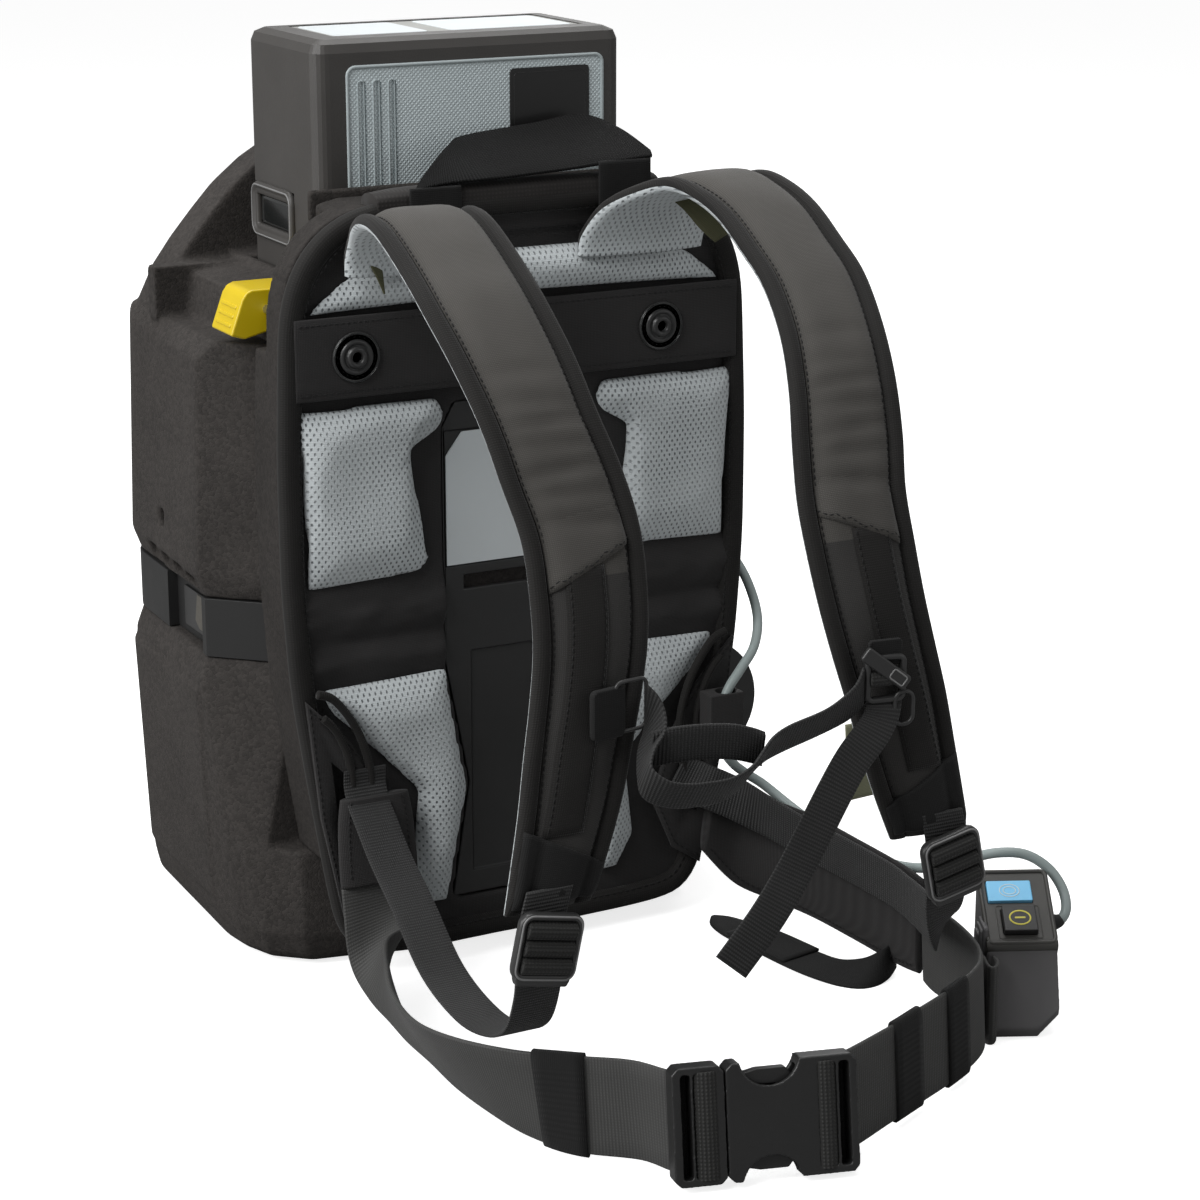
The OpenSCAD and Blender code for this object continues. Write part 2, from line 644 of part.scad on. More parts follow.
module fan_housing() color(plastic) placed() translate([0, motor_y, housing_z]) difference() {
    union() {
        cylinder(r = fan_r + 8, h = housing_h);
        cylinder(r = chamber_r - 0.3, h = 5);
    }
    translate([0, 0, 3]) cylinder(r = fan_r + 4, h = housing_h - 6);
    cylinder(r = 28, h = 8, center = true);
    translate([0, 0, 3]) cylinder(r = shaft_r + 1.5, h = housing_h);
    for (i = [0:11]) rotate([0, 0, i * 30])
        translate([fan_r - 3, 0, housing_h - 5]) cylinder(r = 4, h = 9, $fn = 24);
}

module impeller() color(steel) placed() translate([0, motor_y, fan_z]) difference() {
    union() {
        translate([0, 0, fan_blade_h]) cylinder(r = fan_r, h = 2);
        cylinder(r = 14, h = fan_blade_h + 2);
        for (i = [0:fan_blades - 1]) rotate([0, 0, i * 360 / fan_blades])
            intersection() {
                translate([34, 22, 0]) difference() {
                    cylinder(r = 34, h = fan_blade_h + 1);
                    translate([0, 0, -1]) cylinder(r = 31.6, h = fan_blade_h + 3);
                }
                translate([10, -30, 0]) cube([fan_r - 14, 48, fan_blade_h + 1]);
            }
    }
    translate([0, 0, -1]) cylinder(r = shaft_r, h = 40);
}

module motor_shaft() color(steel) placed() translate([0, motor_y, fan_z - 2])
    cylinder(r = shaft_r, h = fan_blade_h + 40);

module motor_can() color(steel) placed() translate([0, motor_y, motor_z]) difference() {
    union() {
        cylinder(r = motor_r, h = motor_h);
        cylinder(r = motor_r + 8, h = 5);
        translate([0, 0, motor_h - 0.1]) cylinder(r = 16, h = 8);
    }
    translate([0, 0, -1]) cylinder(r = shaft_r + pin_gap, h = 40);
    for (i = [0:9]) rotate([0, 0, i * 36])
        translate([motor_r - 2, -3, 18]) cube([6, 6, motor_h - 30]);
}

module control_board() color([0.1, 0.35, 0.2]) placed() {
    translate([-51.8, shell_front + 12, band_top + 40.2]) cube([103.6, 1.6, 65.6]);
    for (i = [0:2])
        translate([-34 + i * 26, shell_front + 8.5, band_top + 56]) cube([14, 3.6, 20]);
}

module pre_motor_filter() color([0.85, 0.85, 0.82]) placed()
    translate([0, motor_y, band_z + 4]) difference() {
        cylinder(r = 45.8, h = 26);
        translate([0, 0, -1]) cylinder(r = 30, h = 22);
    }

module exhaust_filter() color([0.2, 0.2, 0.2]) placed()
    translate([0, motor_y, motor_z + 12]) difference() {
        cylinder(r = chamber_r - 0.3, h = 34);
        translate([0, 0, -1]) cylinder(r = chamber_r - 16, h = 36);
    }

// ---- Dust bag and inlet ----

module dust_bag() color([0.9, 0.88, 0.84]) placed()
    translate([-dust_half + 6, dust_y0 + 4, dust_z + 0.5]) hull() {
        translate([14, 12, 0]) cube([2 * dust_half - 58, dust_y1 - dust_y0 - 32, 132]);
        translate([4, 0, 12]) cube([2 * dust_half - 36, dust_y1 - dust_y0 - 9, 106]);
    }

module drum_seat() {
    translate([drum_x, frame_back - 32, drum_z]) rotate([-90, 0, 0])
        cylinder(r = drum_r + run_gap + 1, h = drum_y1 + 32 - frame_back + run_gap);
    translate([drum_x - stub_r - run_gap - 1, frame_back - 50, -1])
        cube([100, drum_y1 + 50 - frame_back + run_gap, drum_z]);
}

module inlet_duct() color(plastic) placed() difference() {
    translate([duct_x0 + 0.2, drum_y1 + 1.4, drum_z - duct_h / 2 + 0.2])
        cube([duct_w - 0.4, 39.4, duct_h - 0.4]);
    translate([duct_x0 - 1, drum_y1, drum_z - duct_h / 2 + 3])
        cube([duct_w - 2, 38, duct_h - 6]);
}

module bag_collar() color([0.6, 0.5, 0.36]) placed()
    translate([duct_x0 - 3, dust_y0 + 2, drum_z - 34]) difference() {
        cube([2.8, 58, 68]);
        translate([-1, 0, 34 - duct_h / 2 + 3]) cube([5, drum_y1 + 36 - dust_y0, duct_h - 6]);
    }

module inlet_drum() color(plastic) placed() difference() {
    union() {
        difference() {
            translate([drum_x, drum_y0, drum_z]) rotate([-90, 0, 0])
                cylinder(r = drum_r, h = drum_y1 - drum_y0);
            // hollow of the elbow and its mouth towards the duct
            translate([drum_x, drum_y0 + 4, drum_z]) rotate([-90, 0, 0])
                cylinder(r = drum_r - 4, h = drum_y1 - drum_y0 - 8);
            translate([drum_x, drum_mid, drum_z]) rotate([-90, 0, 0])
                cylinder(r = drum_r - 8, h = 60);
        }
        translate([drum_x, drum_mid, stub_z]) cylinder(r = stub_r, h = hose_len);
    }
    translate([drum_x, drum_mid, stub_z - 1]) cylinder(r = hose_r, h = hose_len + 2);
    // shallow rectangular recess on the cap
    translate([drum_x - 12, drum_y0 - 1, drum_z - 26]) cube([32, 1.8, 18]);
}

// ---- Soft bands: rings of [x, y, z, width direction x, y, z, width] ----

function spline(p, n) = concat([for (i = [0:len(p) - 2], k = [0:n - 1]) let (
        t = k / n,
        a = p[max(i - 1, 0)], b = p[i], c = p[i + 1], d = p[min(i + 2, len(p) - 1)]
    ) (2 * b + (c - a) * t + (2 * a - 5 * b + 4 * c - d) * t * t
        + (3 * b - a - 3 * c + d) * t * t * t) / 2], [p[len(p) - 1]]);
function at(s) = [s[0], s[1], s[2]];
function wide(s) = unit([s[3], s[4], s[5]]);
function along(p, i) = unit(at(p[min(i + 1, len(p) - 1)]) - at(p[max(i - 1, 0)]));
function ring_faces(rings, sides) = concat(
    [[for (k = [0:sides - 1]) k]],
    [for (i = [0:rings - 2], k = [0:sides - 1]) let (a = i * sides + k,
        b = i * sides + (k + 1) % sides) each [[a, a + sides, b], [b, a + sides, b + sides]]],
    [[for (k = [sides - 1:-1:0]) (rings - 1) * sides + k]]);

module ribbon(stations, thick, n = 2) {
    p = spline(stations, n);
    polyhedron([for (i = [0:len(p) - 1]) let (
            w = wide(p[i]) * p[i][6] / 2,
            up = unit(cross(along(p, i), wide(p[i]))) * thick / 2
        ) each [at(p[i]) + w + up, at(p[i]) - w + up, at(p[i]) - w - up, at(p[i]) + w - up]],
        ring_faces(len(p), 4));
}

module tube(points, r, sides = 10, n = 3) {
    p = spline(points, n);
    polyhedron([for (i = [0:len(p) - 1]) let (
            side = unit(cross(along(p, i), [1, 0, 0])),
            up = unit(cross(along(p, i), side))
        ) each [for (k = [0:sides - 1]) at(p[i]) + r * (cos(k * 360 / sides) * side
            + sin(k * 360 / sides) * up)]],
        ring_faces(len(p), sides));
}

function flip(stations) = [for (s = stations) [-s[0], s[1], s[2], -s[3], s[4], s[5], s[6]]];

// ---- Padded panel ----

module back_panel() color(fabric) placed() slab_y(4.3, panel_t - 0.3) difference() {
    panel_outline(binding_w + soft_gap);
    offset_tray(soft_gap);
}

module offset_tray(gap) {
    polygon(both_sides([[43 + gap, 36 - gap], [32 + gap, 104], [46 + gap, 178],
        [46 + gap, 308 + gap], [38 + gap, 322 + gap]]));
}

module panel_binding() color(fabric) placed() slab_y(-1, panel_t) difference() {
    panel_outline(0);
    panel_outline(binding_w);
}

module mesh_pads() color(mesh_grey) placed() slab_y(-1, 4) {
    polygon(both_sides([[124, 377], [107, 391], [87, 404], [50, 406]]));
    for (side = [-1, 1]) scale([side, 1, 1]) {
        polygon([[51, 330], [46, 322], [47, 314], [62, 298], [57, 235], [64, 229], [128, 228],
            [134, 326]]);
        polygon([[122, 174], [47, 174], [34, 102], [46, 36], [57, 36], [69, 54], [70, 104],
            [92, 132], [116, 160]]);
    }
}

module centre_tray() color(plastic) placed() difference() {
    slab_y(5, panel_t - 0.3) offset_tray(0);
    // seat of the plain plate, and the slots below it
    translate([-44.5, 3, 230]) cube([89, 3, 76]);
    translate([-34, 3, 216]) cube([68, 10, 8]);
    translate([-30, 3, 50]) cube([60, 3.2, 130]);
}

module info_plate() color([0.92, 0.92, 0.92]) placed()
    slab_y(4.9, 5.9) polygon(both_sides([[44, 230.5], [44, 292], [34, 305]]));

module cross_band() color(fabric) placed() slab_y(-3.3, -1.3)
    translate([-133, 332]) square([266, 44]);

module press_studs() color([0.1, 0.1, 0.1]) placed() for (x = [-99, 84])
    translate([x, -3.6, 354]) rotate([90, 0, 0]) difference() {
        union() {
            cylinder(r = stud_r, h = 1.2);
            cylinder(r = stud_r - 4, h = 2.2);
            cylinder(r = 5.5, h = 3.6);
        }
        translate([0, 0, 2]) cylinder(r = 3, h = 3);
    }

// One station from the front and rear edges of a band
function pair(f, r) = concat((f + r) / 2, r - f, [norm(r - f)]);

module carry_handle() color(webbing) placed() {
    // folded legs against the face of the panel
    translate([-66, -3.2, 412]) cube([30, webbing_t, 27]);
    translate([46, -3.2, 412]) cube([32, webbing_t, 34]);
    ribbon([pair([-63, -2.3, 437.5], [-57, 5, 441]), pair([-54, -2.3, 440], [-42, 20, 449]),
        pair([-38, -2.3, 441.5], [-26, 36, 455]), pair([-12, -2.3, 442], [-12, 44, 459]),
        pair([30, -2.3, 444], [30, 45, 463]), pair([56, -2.3, 446], [60, 45, 466]),
        pair([70, -2.3, 447], [74, 28, 460]), pair([79, -2.3, 447.5], [81, 4, 450])], webbing_t);
}

// ---- Shoulder straps ----

function strap_stations(list) = [for (s = list) [s[0], s[1], s[2], 1, 0, 0, s[3] * strap_w]];

module shoulder_strap_right() color(pad_grey) placed()
    ribbon(strap_stations(concat(strap_top_right, strap_low)), strap_t);

module shoulder_strap_left() color(pad_grey) placed()
    ribbon(flip(strap_stations(concat(strap_top_left, strap_low))), strap_t);

// Webbing from the foot of each strap down to the panel
// on the right it runs along the inside of the belt wing, up on its edge

module strap_webbing() color(webbing) placed() {
    ribbon(lower_right, webbing_t);
    ribbon(lower_left, webbing_t);
}

module strap_adjusters() color(plastic) placed() for (side = [-1, 1])
    translate([side * 116, -255, 116]) rotate([0, -side * 12, 0]) difference() {
        translate([-webbing_w / 2 - 4.5, -3.4, -17]) cube([webbing_w + 9, 6.8, 34]);
        for (z = [-8, 4])
            translate([-webbing_w / 2 - 0.5, -5, z - 3]) cube([webbing_w + 1, 10, 6]);
    }

module chest_strap() color(webbing) placed() {
    // from strap to strap, with the front of the loop in the middle
    ribbon([for (s = [[-57.2, -244.3, 227, 0, 0, 1], [-55, -247.5, 219, 0.4, -0.2, 0.85],
        [-58, -253, 210, 0.5, -0.5, 0.7], [-64, -258.5, 201, 0.2, -0.5, 0.9],
        [-66, -263, 194, 0, -0.5, 0.9], [-60, -266, 188.5, 0, -0.6, 0.8],
        [-50, -267.5, 185.5, 0, -0.6, 0.8], [-39, -268, 184.5, 0, -0.6, 0.8],
        [-25, -267.5, 184.5, 0, -0.6, 0.8], [-13, -264.5, 187.5, 0.1, -0.6, 0.8],
        [-4, -260.5, 193, 0.2, -0.5, 0.85], [4, -258, 197.5, 0.1, -0.5, 0.85],
        [15, -256, 200.5, 0, -0.5, 0.85], [38, -253, 204.5, 0, -0.5, 0.85],
        [56, -250, 210.5, 0, -0.3, 1], [64.1, -247.6, 217, 0, 0, 1]]) concat(s, [chest_w])],
        webbing_t);
    // back of the loop
    ribbon([for (s = [[-59.5, -254.8, 206, 0, -0.15, 1], [-50, -257.5, 207.5, 0, -0.1, 1],
        [-35, -258.5, 207, 0, -0.1, 1], [-18, -258.5, 204.5, 0, -0.1, 1],
        [-6, -257.8, 200.5, 0, -0.1, 1], [1, -257.6, 197.2, 0, -0.2, 1]])
        concat(s, [chest_w - 2])], webbing_t);
    // loose tail
    ribbon([for (s = [[76, -248.5, 207.9, 1, -0.14, 0], [72.5, -252, 202, 1, -0.15, -0.3],
        [64, -256.5, 195, 0.8, -0.2, -0.55], [52, -258.5, 184, 0.75, -0.2, -0.65],
        [41.5, -259.5, 169.5, 0.85, -0.2, -0.5], [29.5, -260, 150, 0.85, -0.2, -0.5],
        [16, -260, 128, 0.85, -0.2, -0.5], [2, -260, 109, 0.8, -0.2, -0.6],
        [-17, -260, 88, 0.75, -0.2, -0.65]]) concat(s, [chest_w])], webbing_t);
}

module chest_hardware() color(plastic) placed() {
    translate([-71, -244.7, 227]) rotate([0, 0, 8]) difference() {
        translate([-13, -3, -10]) cube([26, 4, 20]);
        translate([-9, -4, -4]) cube([18, 8, 8]);
    }
    translate([76, -248.1, 220]) rotate([0, 0, -8]) difference() {
        translate([-11, -3, -11]) cube([22, 6, 24]);
        for (z = [-5, 5]) translate([-8, -5, z - 2]) cube([16, 12, 4]);
    }
}

// ---- Hip belt ----

module belt_wings() color(fabric) placed() {
    // corners sewn across the foot of the panel
    for (side = [-1, 1]) scale([side, 1, 1]) slab_y(-5, -1.4)
        polygon([[133, 168], [108, 142], [93, 116], [80, 76], [94, 44], [112, 32], [126, 100]]);
    ribbon([for (s = [[114, -9.3, 66, 0.15, 0, 1, 50], [134, -12, 48, 0.15, 0.1, 1, 59],
        [148, -28, 41, 0, 0.1, 1, 62],
        [156, -60, 40, 0, 0.05, 1, 62], [160, -100, 39, 0, 0, 1, 61], [163, -140, 38, 0, 0, 1, 60],
        [165, -158, 37, 0, 0, 1, 56]]) s], 8);
    ribbon([for (s = [[-97, -9.7, 111, 1, 0, 0, 40], [-97, -11, 98, 1, 0, 0, 44],
        [-97, -13, 80, 1, 0, 0, 46], [-97, -15, 62, 1, 0, 0, 46]]) s], 8);
}

// The ends run behind the bars of the buckle
function buckle_end(u) = let (p = in_buckle(u, buckle_t / 2 + belt_t / 2 + 1.4, 0),
    w = in_buckle(0, 0, 1) - in_buckle(0, 0, 0)) [p[0], p[1], p[2], w[0], w[1], w[2], belt_w];

module belt_webbing_right() color(webbing) placed() ribbon(belt_fine_right, belt_t, 1);

module belt_webbing_left() color(webbing) placed() ribbon(belt_fine_left, belt_t, 1);

function piece(line, a, b, grow) = [for (i = [a:b]) concat([for (k = [0:5]) line[i][k]],
    [line[i][6] + grow])];
module keeper(line, a) difference() {
    ribbon(piece(line, a, a + 2, 5), belt_t + 4, 1);
    ribbon(piece(line, a - 1, a + 3, 1), belt_t + 1, 1);
}

module belt_keepers() color(webbing) placed() {
    keeper(belt_fine_right, 17);
    keeper(belt_fine_right, 22);
    keeper(belt_fine_left, 31);
}

// ---- Buckle ----

module at_buckle() placed() translate(buckle_at) rotate([0, 0, buckle_turn])
    rotate([buckle_lean, 0, 0]) children();
function in_buckle(u, v, w) = let (
        y = v * cos(buckle_lean) - w * sin(buckle_lean),
        z = v * sin(buckle_lean) + w * cos(buckle_lean)
    ) buckle_at + [u * cos(buckle_turn) - y * sin(buckle_turn),
        u * sin(buckle_turn) + y * cos(buckle_turn), z];

module buckle_plate(u0, u1) {
    rotate([90, 0, 0]) translate([0, 0, -buckle_t / 2]) linear_extrude(buckle_t)
        polygon([[u0, -buckle_h / 2 + 3], [u0 + 3, -buckle_h / 2], [u1 - 3, -buckle_h / 2],
            [u1, -buckle_h / 2 + 3], [u1, buckle_h / 2 - 3], [u1 - 3, buckle_h / 2],
            [u0 + 3, buckle_h / 2], [u0, buckle_h / 2 - 3]]);
}

module buckle_male() color(plastic) at_buckle() difference() {
    union() {
        buckle_plate(-buckle_l / 2, -20);
        translate([-21, -3, -8]) cube([38, 6, 16]);
    }
    translate([-40, -20, -slot_h / 2]) cube([6, 40, slot_h]);
    translate([-31, -20, -slot_h / 2]) cube([6, 40, slot_h]);
}

module buckle_female() color(plastic) at_buckle() difference() {
    buckle_plate(-19.5, buckle_l / 2);
    // cavity of the prongs
    translate([-21, -prong_t / 2 - 0.6, -25]) cube([46, prong_t + 1.2, 50]);
    // openings over the prongs
    for (side = [-1, 1])
        rotate([90, 0, 0]) translate([2.5, side * (buckle_h / 2 + 3), -20])
            cylinder(r = 15, h = 40);
    translate([31, -20, -slot_h / 2]) cube([5, 40, slot_h]);
    translate([38.5, -20, -slot_h / 2]) cube([4, 40, slot_h]);
}

module prong() {
    rotate([90, 0, 0]) translate([0, 0, -prong_t / 2]) linear_extrude(prong_t) union() {
        polygon([[prong_u - 1, prong_w - 2], [prong_u - 1, prong_w + 2], [-8, 23.5],
            [-3, 24.6], [11, 24.6], [15, 20], [13, 17], [0, 17], [-8, 18.5]]);
        translate([prong_u, prong_w]) circle(r = 2.8);
    }
}

module prong_upper() color(plastic) at_buckle() prong();

module prong_lower() color(plastic) at_buckle() mirror([0, 0, 1]) prong();

// ---- Control unit ----

module at_unit() placed() translate([189.5, -212, 0]) rotate([0, 0, -25]) children();

module at_unit_top() at_unit() translate([0, -unit_d / 2 + 2, unit_front_h])
    rotate([unit_slope, 0, 0]) children();

module unit_profile(inset, lift = 0) {
    rotate([90, 0, 90]) translate([0, 0, inset - unit_w / 2]) linear_extrude(unit_w - 2 * inset)
        polygon([[-unit_d / 2 - 8 + inset, 0.5 + inset], [unit_d / 2 - 3 - inset, 0.5 + inset],
            [unit_d / 2 - inset, 5 + inset], [unit_d / 2 - inset, unit_rear_h - cover_t + lift],
            [-unit_d / 2 + 2 + inset, unit_front_h - cover_t + lift],
            [-unit_d / 2 - 10 + inset, 6 + inset]]);
}

module control_case() color(plastic) at_unit() difference() {
    unit_profile(0);
    unit_profile(2.2, 8);
}

module control_cover() color([0.2, 0.22, 0.23]) at_unit_top() difference() {
    translate([-unit_w / 2, 0, -cover_n]) cube([unit_w, cover_l, cover_n]);
    translate([-9 - run_gap / 2, 6 - run_gap / 2, -10]) cube([18 + run_gap, 16 + run_gap, 20]);
    translate([-15 - run_gap / 2, 27 - run_gap / 2, -10]) cube([24 + run_gap, 13 + run_gap, 20]);
}

module power_button() color(plastic) at_unit_top() {
    translate([-9, 6, -4]) cube([18, 16, 8]);
    translate([-10.4, 4.6, -4.9]) cube([20.8, 18.8, 0.9]);
}

module eco_button() color([0.25, 0.6, 0.85]) at_unit_top() {
    translate([-15, 27, -4]) cube([24, 13, 5.6]);
    translate([-16.3, 25.6, -4.9]) cube([26.6, 15.2, 0.9]);
}

// ---- Cable ----

module cable() color([0.76, 0.8, 0.8]) placed() tube(cable_route, cable_r);

module cable_sleeve() color(plastic) placed() {
    difference() {
        translate([109, -21, 119]) cube([22, 14, 20]);
        hull() {
            translate([119.5, -14.6, 117]) cylinder(r = 5, h = 1);
            translate([122.5, -14.2, 140]) cylinder(r = 6, h = 1);
        }
    }
}

carrier_frame();
upper_shell();
mid_band();
lower_shell();
nameplate();
rear_lid();
lid_hinge_pin();
lid_latch();
lid_seal();
battery_case();
battery_face_panel();
battery_label_plates();
battery_window_bezel();
battery_window();
battery_cells();
battery_contacts();
contact_block();
battery_latch();
latch_pin();
latch_spring();
fan_housing();
impeller();
motor_can();
motor_shaft();
control_board();
pre_motor_filter();
exhaust_filter();
dust_bag();
bag_collar();
inlet_duct();
inlet_drum();
back_panel();
panel_binding();
mesh_pads();
centre_tray();
info_plate();
cross_band();
press_studs();
carry_handle();
shoulder_strap_left();
shoulder_strap_right();
strap_webbing();
strap_adjusters();
chest_strap();
chest_hardware();
belt_wings();
belt_webbing_left();
belt_webbing_right();
belt_keepers();
buckle_male();
prong_upper();
prong_lower();
buckle_female();
control_case();
control_cover();
power_button();
eco_button();
cable();
cable_sleeve();
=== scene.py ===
"""Looks of the backpack vacuum cleaner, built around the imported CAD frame.

Places are written in the millimetres of the CAD source, where y is 0 at the wearer's face of the
back panel, and at() turns them into metres in the row frame.
"""

import math

import bmesh
import bpy
from mathutils import Matrix, Vector, noise


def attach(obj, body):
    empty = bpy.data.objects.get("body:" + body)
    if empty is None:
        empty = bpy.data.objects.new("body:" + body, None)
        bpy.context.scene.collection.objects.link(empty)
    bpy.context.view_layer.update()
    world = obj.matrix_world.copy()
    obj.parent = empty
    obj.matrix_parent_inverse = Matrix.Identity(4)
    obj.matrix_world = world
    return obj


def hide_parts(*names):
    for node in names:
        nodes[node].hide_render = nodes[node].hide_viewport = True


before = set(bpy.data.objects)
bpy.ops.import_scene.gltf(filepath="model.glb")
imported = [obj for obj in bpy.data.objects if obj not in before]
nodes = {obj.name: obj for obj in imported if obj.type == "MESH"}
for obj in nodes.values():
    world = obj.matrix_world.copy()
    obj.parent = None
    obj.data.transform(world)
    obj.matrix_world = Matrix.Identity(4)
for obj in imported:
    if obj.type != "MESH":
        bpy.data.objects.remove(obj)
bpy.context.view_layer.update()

BASE_MIDDLE = 120  # mm from the panel's face to the middle of the base


def at(x, y, z):
    """A point of the CAD source, in mm, as metres in the row frame."""
    return Vector((x, y - BASE_MIDDLE, z)) / 1000


def add_object(name, data):
    made = bpy.data.objects.new(name, data)
    bpy.context.scene.collection.objects.link(made)
    return made


def feed(tree, node, socket, value):
    """Sets one input of a node, or links it to another node's output."""
    if isinstance(value, bpy.types.NodeSocket):
        tree.links.new(value, node.inputs[socket])
    else:
        node.inputs[socket].default_value = value


def add_node(tree, kind, *inputs, out=0, settings=None, **named):
    """An output of a new shader node. Its first inputs are given in order, the others by name."""
    node = tree.nodes.new("ShaderNode" + kind)
    for key, value in (settings or {}).items():
        setattr(node, key, value)
    for number, value in enumerate(inputs):
        feed(tree, node, number, value)
    for socket, value in named.items():
        feed(tree, node, socket.replace("_", " "), value)
    return node.outputs[out] if len(node.outputs) else None


# ---- Camera, lights and floor ----

AZIMUTH = math.radians(-27.9)
ELEVATION = math.radians(16.33)
DISTANCE = 1.730
SHIFT_RIGHT = 0.0425
SHIFT_UP = 0.198
LENS = 90.3
FLOOR_HALF = 6.0


def camera():
    sin_a, cos_a = math.sin(AZIMUTH), math.cos(AZIMUTH)
    sin_e, cos_e = math.sin(ELEVATION), math.cos(ELEVATION)
    back = Vector((sin_a * cos_e, -cos_a * cos_e, sin_e))
    right = Vector((cos_a, sin_a, 0))
    up = back.cross(right)
    data = bpy.data.cameras.new("camera")
    data.lens = LENS
    data.sensor_width = 36
    data.clip_end = 20
    made = add_object("camera", data)
    turn = Matrix((right, up, back)).transposed().to_4x4()
    place = back * DISTANCE + right * SHIFT_RIGHT + up * SHIFT_UP + at(0, 0, 0)
    made.matrix_world = Matrix.Translation(place) @ turn
    bpy.context.scene.camera = made


def lamp(name, place, target, size, watts):
    data = bpy.data.lights.new(name, "AREA")
    data.shape = "RECTANGLE"
    data.size, data.size_y = size
    data.energy = watts
    made = add_object(name, data)
    made.location = place
    made.rotation_euler = (Vector(target) - Vector(place)).to_track_quat("-Z", "Y").to_euler()


def studio():
    """Soft light from above and from the left, in a pale room that the camera sees brighter."""
    lamp("key", (-1.9, -0.75, 2.1), (0.0, -0.1, 0.2), (1.3, 1.3), 42)
    lamp("side", (-2.3, 0.1, 0.9), (0.0, 0.0, 0.25), (1.6, 1.2), 24)
    lamp("top", (0.1, 0.4, 2.4), (0.0, 0.0, 0.2), (1.8, 1.8), 36)
    lamp("fill", (1.7, -2.0, 1.0), (0.0, -0.1, 0.15), (1.6, 1.6), 5)
    lamp("back", (1.7, 2.2, 1.3), (0.0, 0.1, 0.2), (1.6, 1.6), 13)
    world = bpy.data.worlds.new("world")
    bpy.context.scene.world = world
    world.use_nodes = True
    tree = world.node_tree
    tree.nodes.clear()
    path = add_node(tree, "LightPath").node.outputs
    seen = add_node(tree, "Math", path["Is Camera Ray"], path["Is Transmission Ray"],
                    settings={"operation": "MAXIMUM"})
    dim = add_node(tree, "Background", Strength=0.30)
    bright = add_node(tree, "Background", Strength=1.4)
    add_node(tree, "OutputWorld", add_node(tree, "MixShader", seen, dim, bright))
    bpy.context.scene.view_settings.view_transform = "Standard"


def floor():
    """A wide pale floor: the camera sees it lifted towards white, with the object's shadow."""
    signs = ((-1, -1), (1, -1), (1, 1), (-1, 1))
    corners = [(x * FLOOR_HALF, y * FLOOR_HALF, 0) for x, y in signs]
    mesh = bpy.data.meshes.new("floor")
    mesh.from_pydata(corners, [], [(0, 1, 2, 3)])
    look = bpy.data.materials.new("floor")
    look.use_nodes = True
    tree = look.node_tree
    tree.nodes.clear()
    quiet, cloth = [add_node(tree, "BsdfDiffuse", Color=(v, v, v, 1)) for v in (0.30, 0.72)]
    lit = add_node(tree, "AddShader", cloth, add_node(tree, "Emission", Strength=0.78))
    seen = add_node(tree, "LightPath", out="Is Camera Ray")
    add_node(tree, "OutputMaterial", add_node(tree, "MixShader", seen, quiet, lit))
    mesh.materials.append(look)
    add_object("floor", mesh)


camera()

# ---- Materials ----

BEAD_SCALE = 560.0
HOLE_WIDE, HOLE_TALL = 0.0034, 0.0052  # pitch of the spacer mesh's holes, in metres
DIAMOND = 0.0026


def paint(rgb):
    """A colour in 0-255 screen values, as the linear values that shaders take."""
    shares = [v / 255 for v in rgb]
    return (*(v / 12.92 if v <= 0.04045 else ((v + 0.055) / 1.055) ** 2.4 for v in shares), 1.0)


def shade(colour, factor):
    return (*(v * factor for v in colour[:3]), 1.0)


class Look:
    """A material on one Principled shader, with a few nodes that feed its colour and its bump."""

    def __init__(self, name, colour, roughness, **shader):
        self.material = bpy.data.materials.new(name)
        self.material.use_nodes = True
        self.material.diffuse_color = colour
        self.tree = self.material.node_tree
        self.colour = colour
        self.relief = None
        self.set(Base_Color=colour, Roughness=roughness, **shader)

    def set(self, **sockets):
        for name, value in sockets.items():
            feed(self.tree, self.tree.nodes["Principled BSDF"], name.replace("_", " "), value)

    def add(self, kind, *inputs, **named):
        return add_node(self.tree, kind, *inputs, **named)

    def calc(self, operation, *values):
        return self.add("Math", *values, settings={"operation": operation})

    def place(self, kind="Object"):
        return self.add("TexCoord", out=kind)

    def parts(self, kind="Object"):
        """The three coordinates, one by one."""
        return self.add("SeparateXYZ", self.place(kind)).node.outputs

    def grain(self, scale, detail=3.0):
        return self.add("TexNoise", Vector=self.place(), Scale=scale, Detail=detail)

    def swing(self, coordinate, pitch, shape="SINE"):
        """-1 to 1 along one coordinate, once for each pitch."""
        return self.calc(shape, self.calc("MULTIPLY", coordinate, 2 * math.pi / pitch))

    def wave(self, coordinate, pitch):
        """0 to 1 along one coordinate, once for each pitch."""
        return self.calc("MULTIPLY_ADD", self.swing(coordinate, pitch), 0.5, 0.5)

    def ramp(self, value, start, end, low=0.0, high=1.0):
        return self.add("MapRange", value, From_Min=start, From_Max=end, To_Min=low, To_Max=high)

    def mix(self, share, low, high):
        node = self.add("Mix", share, settings={"data_type": "RGBA"}).node
        feed(self.tree, node, 6, low)
        feed(self.tree, node, 7, high)
        return node.outputs[2]

    def tint(self, share, low, high):
        """The base colour runs from low to high times the look's colour, with share."""
        self.set(Base_Color=self.mix(share, shade(self.colour, low), shade(self.colour, high)))

    def bump(self, height, depth, strength=1.0):
        """Adds relief of that depth in metres, on top of what is there already."""
        below = {} if self.relief is None else {"Normal": self.relief}
        self.relief = self.add("Bump", Height=height, Distance=depth, Strength=strength, **below)
        self.set(Normal=self.relief)


